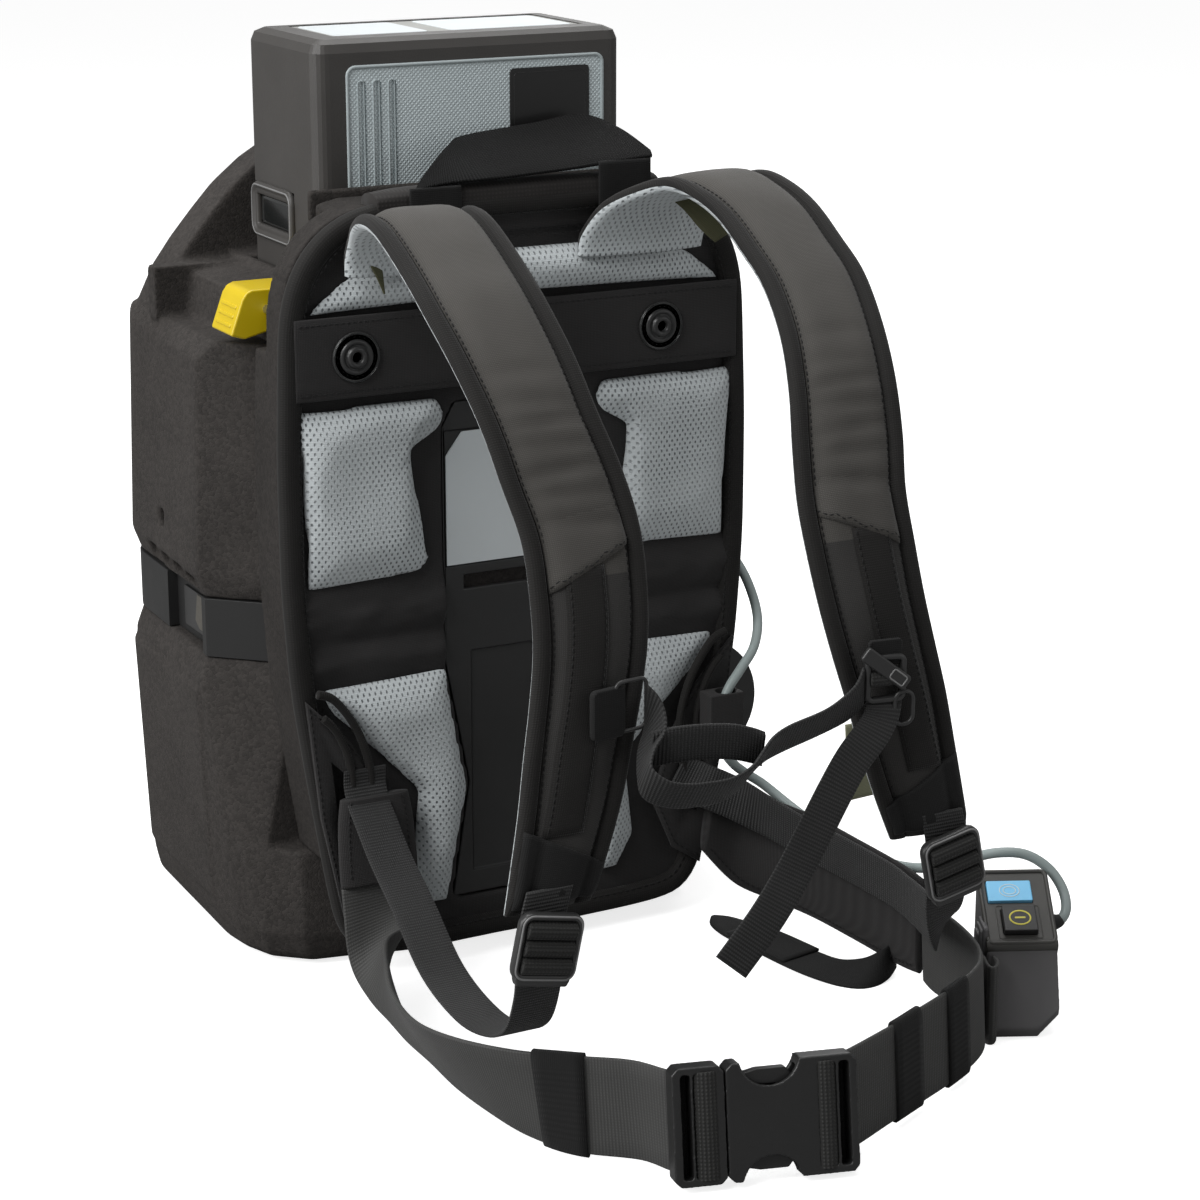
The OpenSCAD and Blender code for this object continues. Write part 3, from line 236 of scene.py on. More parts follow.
def foam_look(name, tone):
    """Moulded bead foam: small beads pressed together, each a little lighter or darker."""
    look = Look(name, shade(paint((53, 50, 48)), tone), 0.85, Specular_IOR_Level=0.25)
    beads = {"Vector": look.place(), "Scale": BEAD_SCALE}
    own = look.add("SeparateColor", look.add("TexVoronoi", out="Color", **beads))
    edge = look.add("TexVoronoi", out="Distance", settings={"feature": "DISTANCE_TO_EDGE"}, **beads)
    cloud = look.grain(22.0)
    look.tint(look.calc("MULTIPLY_ADD", own, 0.45, look.calc("MULTIPLY", cloud, 0.6)), 0.5, 1.6)
    look.bump(look.ramp(edge, 0.0, 0.22), 0.00028, 0.5)
    look.bump(cloud, 0.0012, 0.35)
    return look.material


def moulded_look(name, rgb, roughness=0.42, grain=1500.0, depth=0.00006, wear=0.25):
    """Injection moulding with a fine spark-eroded grain and slightly uneven gloss."""
    look = Look(name, paint(rgb), roughness)
    look.tint(look.grain(18.0), 1 - wear, 1 + wear)
    look.set(Roughness=look.ramp(look.grain(60.0), 0.0, 1.0, roughness - 0.07, roughness + 0.09))
    look.bump(look.grain(grain, 2.0), depth, 0.8)
    return look.material


def metal_look(name, rgb, roughness):
    look = Look(name, paint(rgb), roughness, Metallic=1.0)
    brushed = look.grain(400.0)
    look.set(Roughness=look.ramp(brushed, 0.0, 1.0, roughness - 0.1, roughness + 0.14))
    look.bump(brushed, 0.00004, 0.5)
    return look.material


def glossy_look(name, rgb, roughness, coat):
    look = Look(name, paint(rgb), roughness, Coat_Weight=coat, Coat_Roughness=0.2)
    look.tint(look.grain(30.0), 0.9, 1.08)
    look.bump(look.grain(700.0), 0.00003, 0.6)
    return look.material


def fabric_look(name, rgb, pitch, sheen, kind="UV"):
    """Plain woven nylon. Its threads follow a band's UV, or an upright panel's Object x and z."""
    look = Look(name, paint(rgb), 0.8, Sheen_Weight=sheen, Sheen_Roughness=0.4,
                Specular_IOR_Level=0.2)
    parts = look.parts(kind)
    warp, weft = look.wave(parts[0], pitch), look.wave(parts[1 if kind == "UV" else 2], pitch)
    threads = look.calc("MULTIPLY", warp, weft)
    cloud = look.calc("MULTIPLY", look.grain(14.0), 0.48)
    look.tint(look.calc("MULTIPLY_ADD", threads, 0.5, cloud), 0.66, 1.45)
    look.bump(threads, 0.00022, 0.7)
    look.bump(look.grain(55.0), 0.0012, 0.25)
    return look.material


def webbing_look(name, rgb, rib, line, relief, contrast, gloss=0.3):
    """Ribbed webbing: ribs across the length, finer lines along it, each a little uneven."""
    look = Look(name, paint(rgb), 0.62, Sheen_Weight=gloss * 0.27, Sheen_Roughness=0.4,
                Specular_IOR_Level=gloss)
    parts = look.parts("UV")
    lines = look.ramp(look.wave(parts[0], line), 0.0, 1.0, 0.45)
    weave = look.calc("MULTIPLY", look.wave(parts[1], rib), lines)
    cloud = look.calc("MULTIPLY", look.grain(26.0), 0.5)
    look.tint(look.calc("MULTIPLY_ADD", weave, 0.65, cloud), 1 - contrast, 1 + contrast)
    look.bump(weave, relief, 0.9)
    look.bump(look.grain(40.0), 0.0006, 0.3)
    return look.material


def mesh_look(name, rgb, hole_rgb):
    """Warp-knit spacer mesh: staggered upright holes in a pale face, clearer here and there."""
    look = Look(name, paint(rgb), 0.6, Sheen_Weight=0.25, Sheen_Roughness=0.4,
                Specular_IOR_Level=0.35)
    x, _, z = look.parts()
    lattice = look.calc("MULTIPLY", look.swing(x, HOLE_WIDE, "COSINE"),
                        look.swing(z, HOLE_TALL, "COSINE"))
    hole = look.ramp(lattice, 0.35, 0.95)
    clear = look.ramp(look.grain(30.0, 2.0), 0.35, 0.65, 0.3)
    face = look.mix(look.grain(9.0), shade(look.colour, 0.7), shade(look.colour, 1.25))
    look.set(Base_Color=look.mix(look.calc("MULTIPLY", hole, clear), face, paint(hole_rgb)))
    look.bump(hole, -0.0008, 0.9)
    look.bump(look.wave(z, 0.0009), 0.00015, 0.5)
    return look.material


def slate_look(name, rgb):
    """The battery's front: a fine diamond texture moulded into blue-grey plastic."""
    look = Look(name, paint(rgb), 0.5)
    x, _, z = look.parts()
    slopes = [look.wave(look.calc(sign, x, z), DIAMOND) for sign in ("ADD", "SUBTRACT")]
    diamonds = look.calc("MULTIPLY", *slopes)
    look.tint(diamonds, 0.78, 1.22)
    look.bump(diamonds, 0.00035, 0.8)
    return look.material


LOOKS = {
    "foam": foam_look("bead_foam", 1.0),
    # the same bead foam at 0.72 tone for the carrier frame: painted shade along the frame
    "foam_frame": foam_look("frame_foam_painted_shade", 0.72),
    "slate": slate_look("slate_diamond", (216, 228, 231)),
    "mesh": mesh_look("spacer_mesh", (204, 210, 212), (96, 102, 105)),
}
# material, colour, roughness, scale and depth of the grain, unevenness
MOULDED = {
    "plastic": ("black_plastic", (40, 40, 40)),
    "buckle": ("buckle_plastic", (33, 33, 33), 0.34, 900, 0.00008),
    "hardware": ("hardware_plastic", (48, 48, 48), 0.3, 900, 0.00005),
    # light grey for the thin rims on the top edges of dark hardware: a painted highlight
    "worn": ("worn_edge", (128, 128, 128), 0.34, 900, 0.00005),
    "band": ("band_plastic", (27, 27, 27), 0.55),
    "battery": ("battery_plastic", (66, 64, 62), 0.46, 1100, 0.0001),
    "top_plate": ("top_plate", (146, 147, 143), 0.5, 1500, 0.00006, 0.06),
    "slate_edge": ("slate_edge", (176, 186, 188), 0.45, 1500, 0.00006, 0.08),
    "white": ("white_plate", (206, 212, 214), 0.5, 1500, 0.00006, 0.05),
    "mark": ("yellow_mark", (214, 204, 84), 0.5, 1500, 0.00006, 0.05),
    "pale_mark": ("pale_mark", (206, 226, 236), 0.5, 1500, 0.00006, 0.05),
    "unit": ("unit_plastic", (90, 89, 90), 0.5, 1400, 0.00005, 0.1),
    "unit_top": ("unit_cover_plastic", (62, 61, 58), 0.45, 1500, 0.00006, 0.12),
    "rubber": ("rubber", (30, 30, 30), 0.7, 600, 0.00008),
    "cable": ("cable_sheath", (152, 163, 162), 0.45, 500, 0.00004, 0.1),
    "green": ("circuit_board", (38, 92, 60), 0.4),
    "card": ("pressed_card", (178, 152, 112), 0.8, 300, 0.0002),
    "dark_foam": ("open_foam", (52, 52, 52), 0.9, 260, 0.0009),
    "thread": ("thread", (17, 17, 17), 0.7, 2000, 0.00003),
}
# material, colour, roughness
METAL = {
    "bare_metal": ("bare_plate", (128, 124, 116), 0.42),
    "steel": ("steel", (190, 192, 195), 0.32),
    "alloy": ("alloy", (205, 207, 210), 0.26),
}
# material, colour, roughness, coat
GLOSSY = {
    "satin": ("satin_plate", (27, 27, 27), 0.35, 0.1),
    "glass": ("window_glass", (20, 23, 23), 0.08, 1.0),
    "yellow": ("yellow_plastic", (214, 186, 18), 0.34, 0.15),
    "blue": ("blue_key", (128, 204, 246), 0.4, 0.1),
    "sleeve": ("cell_sleeve", (88, 140, 104), 0.35, 0.2),
}
# material, colour, pitch of the threads, sheen, and what the threads follow
FABRIC = {
    "fleece": ("fleece", (226, 222, 212), 0.0016, 0.12, "Object"),
    "panel": ("panel_fabric", (52, 51, 51), 0.0009, 0.06, "Object"),
    "roll": ("padded_roll", (46, 44, 43), 0.0022, 0.1, "Object"),
    "strap": ("strap_fabric", (78, 76, 73), 0.0009, 0.15),
    "strap_low": ("strap_lining", (58, 57, 56), 0.0009, 0.12),
    "border": ("border_tape", (36, 35, 34), 0.0012, 0.12),
    "edge": ("edge_tape", (36, 35, 34), 0.0013, 0.08),
    "keeper": ("keeper_tape", (34, 34, 34), 0.001, 0.06),
    "tag": ("tag_fabric", (84, 84, 62), 0.0008, 0.1),
    "pale_tag": ("pale_tag_fabric", (150, 150, 124), 0.0008, 0.1),
}
# material, colour, pitch of the ribs and of the lines, relief, contrast, gloss
WEBBING = {
    "webbing": ("webbing", (48, 48, 48), 0.0019, 0.00125, 0.0005, 0.65),
    "handle": ("handle_webbing", (24, 24, 24), 0.0016, 0.0018, 0.0005, 0.6, 0.06),
    "belt": ("belt_webbing", (68, 68, 67), 0.0016, 0.0014, 0.00018, 0.3),
    "bar": ("bar_webbing", (42, 42, 41), 0.0021, 0.0019, 0.0005, 0.5),
}
for maker, rows in ((moulded_look, MOULDED), (metal_look, METAL), (glossy_look, GLOSSY),
                    (fabric_look, FABRIC), (webbing_look, WEBBING)):
    LOOKS.update({key: maker(*row) for key, row in rows.items()})

# look of each CAD node that is shown
CAD_LOOKS = {
    "plastic": "lid_latch contact_block fan_housing inlet_drum inlet_duct centre_tray"
               " power_button",
    "unit_top": "control_cover",
    "buckle": "prong_upper prong_lower",
    "band": "mid_band",
    "steel": "lid_hinge_pin latch_pin latch_spring battery_contacts motor_shaft motor_can",
    "alloy": "impeller",
    "rubber": "lid_seal",
    "battery": "battery_case",
    "slate": "battery_face_panel",
    "sleeve": "battery_cells",
    "green": "control_board",
    "card": "bag_collar",
    "white": "info_plate",
    "blue": "eco_button",
    "panel": "cable_sleeve",
}

# bevel of the moulded edges of the CAD nodes that are shown, in mm
CAD_BEVELS = {
    0.8: "mid_band contact_block control_cover",
    1.0: "inlet_drum cable_sleeve centre_tray",
    0.6: "prong_upper prong_lower lid_latch eco_button power_button",
    0.3: "battery_face_panel",
}

# material slot of the new pieces that wear each look, unless a piece says otherwise
SLOTS = {
    "foam_black": "foam foam_frame",
    "plastic_black": "hardware worn battery buckle unit mark glass",
    "webbing_black": "webbing handle belt bar keeper",
    "fabric_black": "panel roll edge tag pale_tag",
    "mesh_grey": "mesh",
    "latch_yellow": "yellow",
    "steel": "bare_metal",
    "battery_slate": "slate_edge",
    "plate_black": "satin plastic",
    "plate_white": "top_plate white",
    "cover_grey": "unit_top",
    "button_blue": "pale_mark",
    "cable_grey": "cable",
    "filter_white": "fleece",
    "filter_dark": "dark_foam",
}
SLOT_OF = {look: slot for slot, looks in SLOTS.items() for look in looks.split()}


def dress(mesh, look):
    """Gives a whole mesh one look."""
    mesh.materials.clear()
    mesh.materials.append(LOOKS[look])
    mesh.polygons.foreach_set("material_index", [0] * len(mesh.polygons))


def set_smooth(mesh, smooth=True):
    mesh.polygons.foreach_set("use_smooth", [smooth] * len(mesh.polygons))


def modify(made, kind, **values):
    change = made.modifiers.new(kind.lower(), kind)
    for key, value in values.items():
        setattr(change, key, value)
    return change


def soften(made, size, angle=35):
    """Rounds the sharp edges of a moulding by modifiers, which leave its own mesh as it is."""
    modify(made, "WELD", merge_threshold=0.00001)
    modify(made, "BEVEL", width=size, segments=3, limit_method="ANGLE",
           angle_limit=math.radians(angle), harden_normals=False)
    set_smooth(made.data)
    modify(made, "WEIGHTED_NORMAL", weight=100, keep_sharp=True)
    return made


def finish_cad_nodes():
    for look, names in CAD_LOOKS.items():
        for name in names.split():
            dress(nodes[name].data, look)
    set_smooth(nodes["info_plate"].data, False)
    for size, names in CAD_BEVELS.items():
        for name in names.split():
            soften(nodes[name], size / 1000)


# ---- Mesh tools ----


def sign(made, look, body="pack", slot="", replaces=None, fill=None):
    """Puts a piece on what it rides on and hides the CAD node it stands for; fill is not used.

    The slot is worked out as the look's own unless one is given, or None, but it is not kept.
    """
    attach(made, body)
    slot = SLOT_OF.get(look) if slot == "" else slot
    if replaces:
        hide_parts(replaces)
    return made


def new_object(name, verts, faces, look, uvs=None, smooth=True, marks=None, **facts):
    """A mesh piece. uvs has a pair for each vertex, in metres, and marks a look for each face."""
    mesh = bpy.data.meshes.new(name)
    mesh.from_pydata([tuple(v) for v in verts], [], faces)
    for one in [look] if isinstance(look, str) else look:
        mesh.materials.append(LOOKS[one])
    if marks:
        mesh.polygons.foreach_set("material_index", marks)
    if uvs:
        layer = mesh.uv_layers.new(name="UVMap")
        for loop in mesh.loops:
            layer.data[loop.index].uv = uvs[loop.vertex_index]
    set_smooth(mesh, smooth)
    mesh.update()
    return sign(add_object(name, mesh), look, **facts)


def skin(rings, count, closed=False, flip=False):
    """Faces over rings of count points, with both ends capped unless the last meets the first."""
    faces = []
    for i in range(rings if closed else rings - 1):
        p, q = i * count, (i + 1) % rings * count
        for k in range(count):
            m = (k + 1) % count
            faces.append((p + k, q + k, q + m, p + m) if flip else (p + k, p + m, q + m, q + k))
    if not closed:
        first, last = tuple(range(count)), tuple(range((rings - 1) * count, rings * count))
        faces += [first, last[::-1]] if flip else [first[::-1], last]
    return faces


def loft(name, rings, look, uvs=None, closed=False, flip=False, **facts):
    """A piece whose faces join rings of points, all with the same count."""
    verts = [point for ring in rings for point in ring]
    faces = skin(len(rings), len(rings[0]), closed, flip)
    return new_object(name, verts, faces, look, uvs, **facts)


def turns(steps):
    """The cosine and the sine of each step of a full turn."""
    angles = [2 * math.pi * k / steps for k in range(steps)]
    return [(math.cos(t), math.sin(t)) for t in angles]


def eased(v, power):
    """A power of v that keeps its sign: under 1, it makes an oval squarer."""
    return math.copysign(abs(v) ** power, v)


def lengths_along(places):
    """How far each place is from the start of a line."""
    runs = [0.0]
    for a, b in zip(places, places[1:]):
        runs.append(runs[-1] + (b - a).length)
    return runs


def spline(stations, steps):
    """Catmull-Rom curve through lists of numbers, steps pieces between each two."""
    last = len(stations) - 1
    made = []
    for i in range(last):
        a, b = stations[max(i - 1, 0)], stations[i]
        c, d = stations[i + 1], stations[min(i + 2, last)]
        for k in range(steps):
            t = k / steps
            made.append([
                (2 * q + (r - p) * t + (2 * p - 5 * q + 4 * r - s) * t * t
                 + (3 * q - p - 3 * r + s) * t ** 3) / 2
                for p, q, r, s in zip(a, b, c, d)])
    made.append(list(stations[-1]))
    return made


class Band:
    """A flat strip along a line: at each ring a place, a width, and directions across and up.

    A station is x, y, z in mm, the direction of the width, and the width in mm.
    """

    def __init__(self, stations, steps=6):
        line = spline(stations, steps)
        self.places = [at(*s[:3]) for s in line]
        self.across = [Vector(s[3:6]).normalized() for s in line]
        self.widths = [s[6] / 1000 for s in line]
        self.runs = lengths_along(self.places)
        ends = zip(self.places[:1] + self.places, self.places[1:] + self.places[-1:], self.across)
        self.up = [(after - before).cross(wide).normalized() for before, after, wide in ends]

    def point(self, i, a, b):
        """The point at ring i, a metres across and b metres up."""
        return self.places[i] + self.across[i] * a + self.up[i] * b

    def sweep(self, name, section, look, mark=None, **facts):
        """A closed solid. section(i) gives a ring of (across, up), mark(k) the look of a side."""
        flat = [section(i) for i in range(len(self.places))]
        rings = [[self.point(i, a, b) for a, b in ring] for i, ring in enumerate(flat)]
        uvs = [(a, run) for ring, run in zip(flat, self.runs) for a, _ in ring]
        if mark:
            sides = [mark(k) for k in range(len(flat[0]))]
            facts["marks"] = sides * (len(flat) - 1) + [0, 0]
        return loft(name, rings, look, uvs, flip=True, **facts)


def flat_section(band, thick, arc=4, steps=6):
    """A webbing's section: flat faces and round edges."""
    r = thick / 2

    def section(i):
        half = band.widths[i] / 2 - r
        edge = [math.pi * (0.5 - k / arc) for k in range(arc + 1)]
        ring = [(half + r * math.cos(t), r * math.sin(t)) for t in edge]
        ring += [(half - 2 * half * k / steps, -r) for k in range(1, steps)]
        return ring + [(-a, -b) for a, b in ring]
    return section


def cushion_section(band, thick, pinch=0.0022, sides=36):
    """A padded band: full in the middle, thin at the sewn edges."""
    def section(i):
        half = band.widths[i] / 2
        ring = []
        for up, out in turns(sides):
            a = half * eased(out, 0.45)
            rise = max(0.0, 1 - (abs(a) / half) ** 6)
            ring.append((a, (pinch + (thick / 2 - pinch) * rise) * eased(up, 0.6)))
        return ring
    return section


def stations(places, wide, width):
    """Stations with one direction and size of the width."""
    return [[*p, *wide, width] for p in places]


def mirrored(line):
    """The stations of the same band on the other side. Its front face stays the front."""
    return [[-x, y, z, dx, -dy, -dz, width] for x, y, z, dx, dy, dz, width in line]


def webbing(name, line, thick, look="webbing", steps=6, **facts):
    band = Band(line, steps)
    return band.sweep(name, flat_section(band, thick), look, **facts)


def rounded(half_w, half_h, corner, steps=6):
    """A rounded rectangle in mm, anticlockwise, as pairs of a place and the way outwards."""
    made = []
    for quarter, (sx, sy) in enumerate(((1, 1), (-1, 1), (-1, -1), (1, -1))):
        for k in range(steps + 1):
            t = math.pi / 2 * (quarter + k / steps)
            out = (math.cos(t), math.sin(t))
            made.append(((sx * (half_w - corner) + corner * out[0],
                          sy * (half_h - corner) + corner * out[1]), out))
    return made


def ellipse(a, b, steps=28):
    made = []
    for c, s in turns(steps):
        made.append(((a * c, b * s), tuple(Vector((c / a, s / b)).normalized())))
    return made


def wire(radius, sides=10):
    """The section of a round wire, for rim()."""
    return [(radius * c, radius * s) for c, s in turns(sides)]


class Plane:
    """A flat place: its middle in metres, and the ways right, up and out of it."""

    def __init__(self, middle, right=(1, 0, 0), up=(0, 0, 1)):
        self.middle = Vector(middle)
        self.right = Vector(right).normalized()
        self.up = Vector(up).normalized()
        self.out = self.right.cross(self.up)

    def point(self, a, b, c=0.0):
        """a right, b up and c out, in mm."""
        return self.middle + (self.right * a + self.up * b + self.out * c) / 1000

    def moved(self, a, b, c=0.0):
        return Plane(self.point(a, b, c), self.right, self.up)


def edit(made, change):
    """Changes a piece's mesh by a bmesh operation."""
    work = bmesh.new()
    work.from_mesh(made.data)
    change(work)
    work.to_mesh(made.data)
    work.free()
    return made


def facing_out(made):
    return edit(made, lambda work: bmesh.ops.recalc_face_normals(work, faces=work.faces))


def rim(name, plane, loop, profile, look, **facts):
    """A closed moulding that follows a loop. profile is (outwards, height) in mm."""
    rings = [[plane.point(a + x * out, b + y * out, high) for out, high in profile]
             for (a, b), (x, y) in loop]
    runs = lengths_along([plane.point(a, b) for (a, b), _ in loop])
    uvs = [(out / 1000, run) for run in runs for out, _ in profile]
    return facing_out(loft(name, rings, look, uvs, closed=True, flip=True, **facts))


def plate(name, plane, loop, layers, look, **facts):
    """A flat moulding: rings of the loop, (inset, height) in mm, from its back to its front."""
    flat = [[(a - x * inset, b - y * inset) for (a, b), (x, y) in loop] for inset, _ in layers]
    rings = [[plane.point(*p, high) for p in ring] for ring, (_, high) in zip(flat, layers)]
    uvs = [(a / 1000, b / 1000) for ring in flat for a, b in ring]
    made = facing_out(loft(name, rings, look, uvs, **facts))
    for face in made.data.polygons:
        face.use_smooth = abs(face.normal.dot(plane.out)) <= 0.99
    return made


def prism(name, plane, outline, low, high, look, round_edge, **facts):
    """An outline of the plane, in mm, from height low to high, with rounded edges."""
    rings = [[plane.point(a, b, height) for a, b in outline] for height in (low, high)]
    return soften(facing_out(loft(name, rings, look, **facts)), round_edge / 1000, 25)


def bar_roll(name, plane, length, half_w, half_h, sides=20, steps=10):
    """Webbing turned tightly round a bar: a full oval roll that runs up the plane."""
    places = [length * (i / steps - 0.5) for i in range(steps + 1)]
    rings = [[plane.point(half_w * c, b, half_h * s) for c, s in turns(sides)] for b in places]
    girth = half_w * 2 * math.pi
    uvs = [(b / 1000, girth * k / sides / 1000) for b in places for k in range(sides)]
    return soften(facing_out(loft(name, rings, "bar", uvs)), 0.0006, 50)


def tube_along(name, points, radius, look, sides=8, steps=1, **facts):
    """A round tube through points in metres. radius is one number, or one for each point."""
    line = [Vector(p) for p in (spline(points, steps) if steps > 1 else points)]
    radii = radius if isinstance(radius, list) else [radius] * len(line)
    rings, uvs, side = [], [], None
    for before, p, after, r, run in zip(line[:1] + line, line, line[1:] + line[-1:], radii,
                                        lengths_along(line)):
        ahead = (after - before).normalized()
        if side is None:
            side = ahead.cross(Vector((0.31, 0.22, 0.93))).normalized()
        side = (side - ahead * side.dot(ahead)).normalized()
        other = ahead.cross(side)
        rings.append([p + side * (r * c) + other * (r * s) for c, s in turns(sides)])
        uvs += [(r * 2 * math.pi * k / sides, run) for k in range(sides)]
    return loft(name, rings, look, uvs, **facts)


def lathe(name, middle, axis, profile, look, steps=40, **facts):
    """A turned shape. profile is (radius, height along the axis) in mm, from the rim inwards."""
    axis = Vector(axis).normalized()
    side = axis.cross(Vector((0.2, 0.3, 0.93))).normalized()
    other = axis.cross(side)
    rings = [[middle + (side * c + other * s) * (r / 1000) + axis * (h / 1000)
              for c, s in turns(steps)] for r, h in profile]
    return loft(name, rings, look, **facts)


# each ring of a stitch: its place as a share of the length, and its share of the radius
THREAD = ((-0.5, 0.4), (-0.3, 1.0), (0.3, 1.0), (0.5, 0.4))


def stitches(name, lines, pitch=0.0034, length=0.0023, radius=0.00038):
    """Short raised threads along lines of points, joined into one piece."""
    verts, faces = [], []
    thread = skin(len(THREAD), 4)
    for line in lines:
        run = 0.0
        for a, b in zip(line, line[1:]):
            span = (b - a).length
            while run <= span and span > 0:
                ahead = (b - a) / span
                side = ahead.cross(Vector((0.3, 0.5, 0.81))).normalized()
                other = ahead.cross(side)
                faces += [tuple(len(verts) + k for k in face) for face in thread]
                for share, width in THREAD:
                    middle = a + ahead * (run + length * share)
                    verts += [middle + (side * c + other * s) * (radius * width)
                              for c, s in turns(4)]
                run += pitch
            run -= span
    return new_object(name, verts, faces, "thread")


def copy_of(name, source, look, **facts):
    """A new piece that stands for a CAD node and starts as its mesh, with its corners joined."""
    made = add_object(name, nodes[source].data.copy())
    edit(made, lambda work: bmesh.ops.remove_doubles(work, verts=work.verts, dist=0.00002))
    dress(made.data, look)
    return sign(made, look, replaces=source, **facts)


# voxels of the smoothed copies, in metres
MOULDING_VOXEL = 0.0009
BUCKLE_VOXEL = 0.0008
CLOTH_VOXEL = 0.0026
BAG_VOXEL = 0.003
FOAM_VOXEL, COARSE_VOXEL = 0.0016, 0.004


def apply_modifiers(made):
    """The piece's mesh becomes what its modifiers make of it."""
    graph = bpy.context.evaluated_depsgraph_get()
    mesh = bpy.data.meshes.new_from_object(made.evaluated_get(graph))
    made.modifiers.clear()
    made.data = mesh
    return made


def remesh(made, voxel, smooth):
    """One closed skin of small even faces, smoothed a number of times."""
    modify(made, "REMESH", mode="VOXEL", voxel_size=voxel, use_smooth_shade=True)
    modify(made, "SMOOTH", iterations=smooth, factor=0.5)
    return apply_modifiers(made)


# ---- Cable ----

CABLE_RADIUS = 0.0028
RELIEF_WALL = 0.0026
RELIEF_TAPER = 0.00045
CABLE_ROUTE = [
    (122.6, 75.4, 216), (132, 66, 216), (141, 57, 216), (149, 46, 213), (154, 32, 203),
    (156, 18, 190), (154, 4, 174), (146, -6, 160), (134, -11, 149), (125, -13.5, 140),
    (120, -14.5, 129), (119.5, -15, 116), (121.5, -14.8, 103), (129, -12.2, 93),
    (139, -9.5, 84.5), (150.5, -11, 76), (159, -23, 67), (164, -42, 61), (167, -66, 58),
    (170, -96, 57), (173, -126, 60), (177, -150, 67), (184, -170, 77), (195, -183, 83.5),
    (208.5, -191, 83), (218.5, -199, 76), (222.5, -207, 66.5), (221, -213.5, 58),
    (216.5, -215.6, 52.5), (210.8, -213.2, 50.5)]


def cable():
    """The lead from the shell to the control unit, through the sleeve."""
    line = [Vector(p) for p in spline([at(*p) for p in CABLE_ROUTE], 5)]
    length = lengths_along(line)[-1]
    made = tube_along("cable_lead", line, CABLE_RADIUS, "cable", sides=16, replaces="cable")
    # strain reliefs at the shell and at the control unit
    relief = [CABLE_RADIUS + RELIEF_WALL - RELIEF_TAPER * k for k in range(6)]
    tube_along("cable_relief_shell", line[3:9], relief, "rubber", sides=16)
    tube_along("cable_relief_unit", line[:-7:-1], relief, "rubber", sides=16)


cable()

# ---- Foam shells ----


def foam_pieces():
    """The bead foam mouldings have soft edges all over, so each is a smoothed copy."""
    voxel, smooth = ((FOAM_VOXEL, 6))
    # the carrier frame wears the darker foam_frame look, which is painted shade
    for name, source, look, body in (("foam_frame", "carrier_frame", "foam_frame", "pack"),
                                     ("foam_upper", "upper_shell", "foam", "pack"),
                                     ("foam_lower", "lower_shell", "foam", "pack"),
                                     ("foam_lid", "rear_lid", "foam", "lid")):
        remesh(copy_of(name, source, look, body=body), voxel, smooth)
    # the seat under the release grip
    seat = [(-99, 351), (-99, 370), (-117, 368), (-121, 351)]
    prism("foam_latch_seat", Plane(at(0, 47, 0)), seat, -40, 0, "foam", 2)


# ---- Latch, nameplate and battery trim ----

LATCH_Y0, LATCH_Y1 = 50, 80
SIDE_FACE = Plane(at(-93, 120, 412), (0, -1, 0))
FRONT_FACE = Plane(at(3.25, 58.5, 438.75))
LABEL_FACE = FRONT_FACE.moved(44.25, 31.75)
TOP_FACE = Plane(at(3, 111.5, 511.2), (1, 0, 0), (0, 1, 0))


def latch_grip():
    """The yellow release grip: a flat top that bends down into a ribbed face."""
    outline = [(-93.6, 384), (-93.6, 378), (-117, 377), (-121, 362), (-140, 357.5),
               (-148, 360), (-141, 379), (-138.5, 382.5), (-135, 384)]
    prism("release_grip", Plane(at(0, LATCH_Y0, 0)), outline, LATCH_Y0 - LATCH_Y1, 0, "yellow",
          1.2, body="latch", replaces="battery_latch")
    slope = Plane(at(-144.5, (LATCH_Y0 + LATCH_Y1) / 2, 369.5), (0, -1, 0), (7, 0, 19))
    for number in range(3):
        plate(f"release_rib_{number}", slope.moved(0, 5.2 * (number - 1)), rounded(11, 1.1, 1),
              [(0, -1.5), (0, 0.1), (0.5, 0.7)], "yellow", body="latch")


def nameplate_trim():
    """The bare two-tone plate in the grip recess."""
    plane = Plane(at(-148.3, 117, 189), (0, -1, 0))
    plate("name_plate", plane, rounded(20.8, 11.8, 1.5), [(0, -1), (0, 0), (0.4, 0.3)], "satin",
          slot="steel", replaces="nameplate")
    bare = [((-6, 10), (-0.5, 0.8)), ((-10, -6), (-1, 0)), ((-4, -10), (-0.6, -0.8)),
            ((13, -10), (0.7, -0.7)), ((13, 10), (0.7, 0.7))]
    plate("name_plate_face", plane.moved(7, 1), bare, [(0, 0.2), (0, 0.5), (0.3, 0.7)],
          "bare_metal")


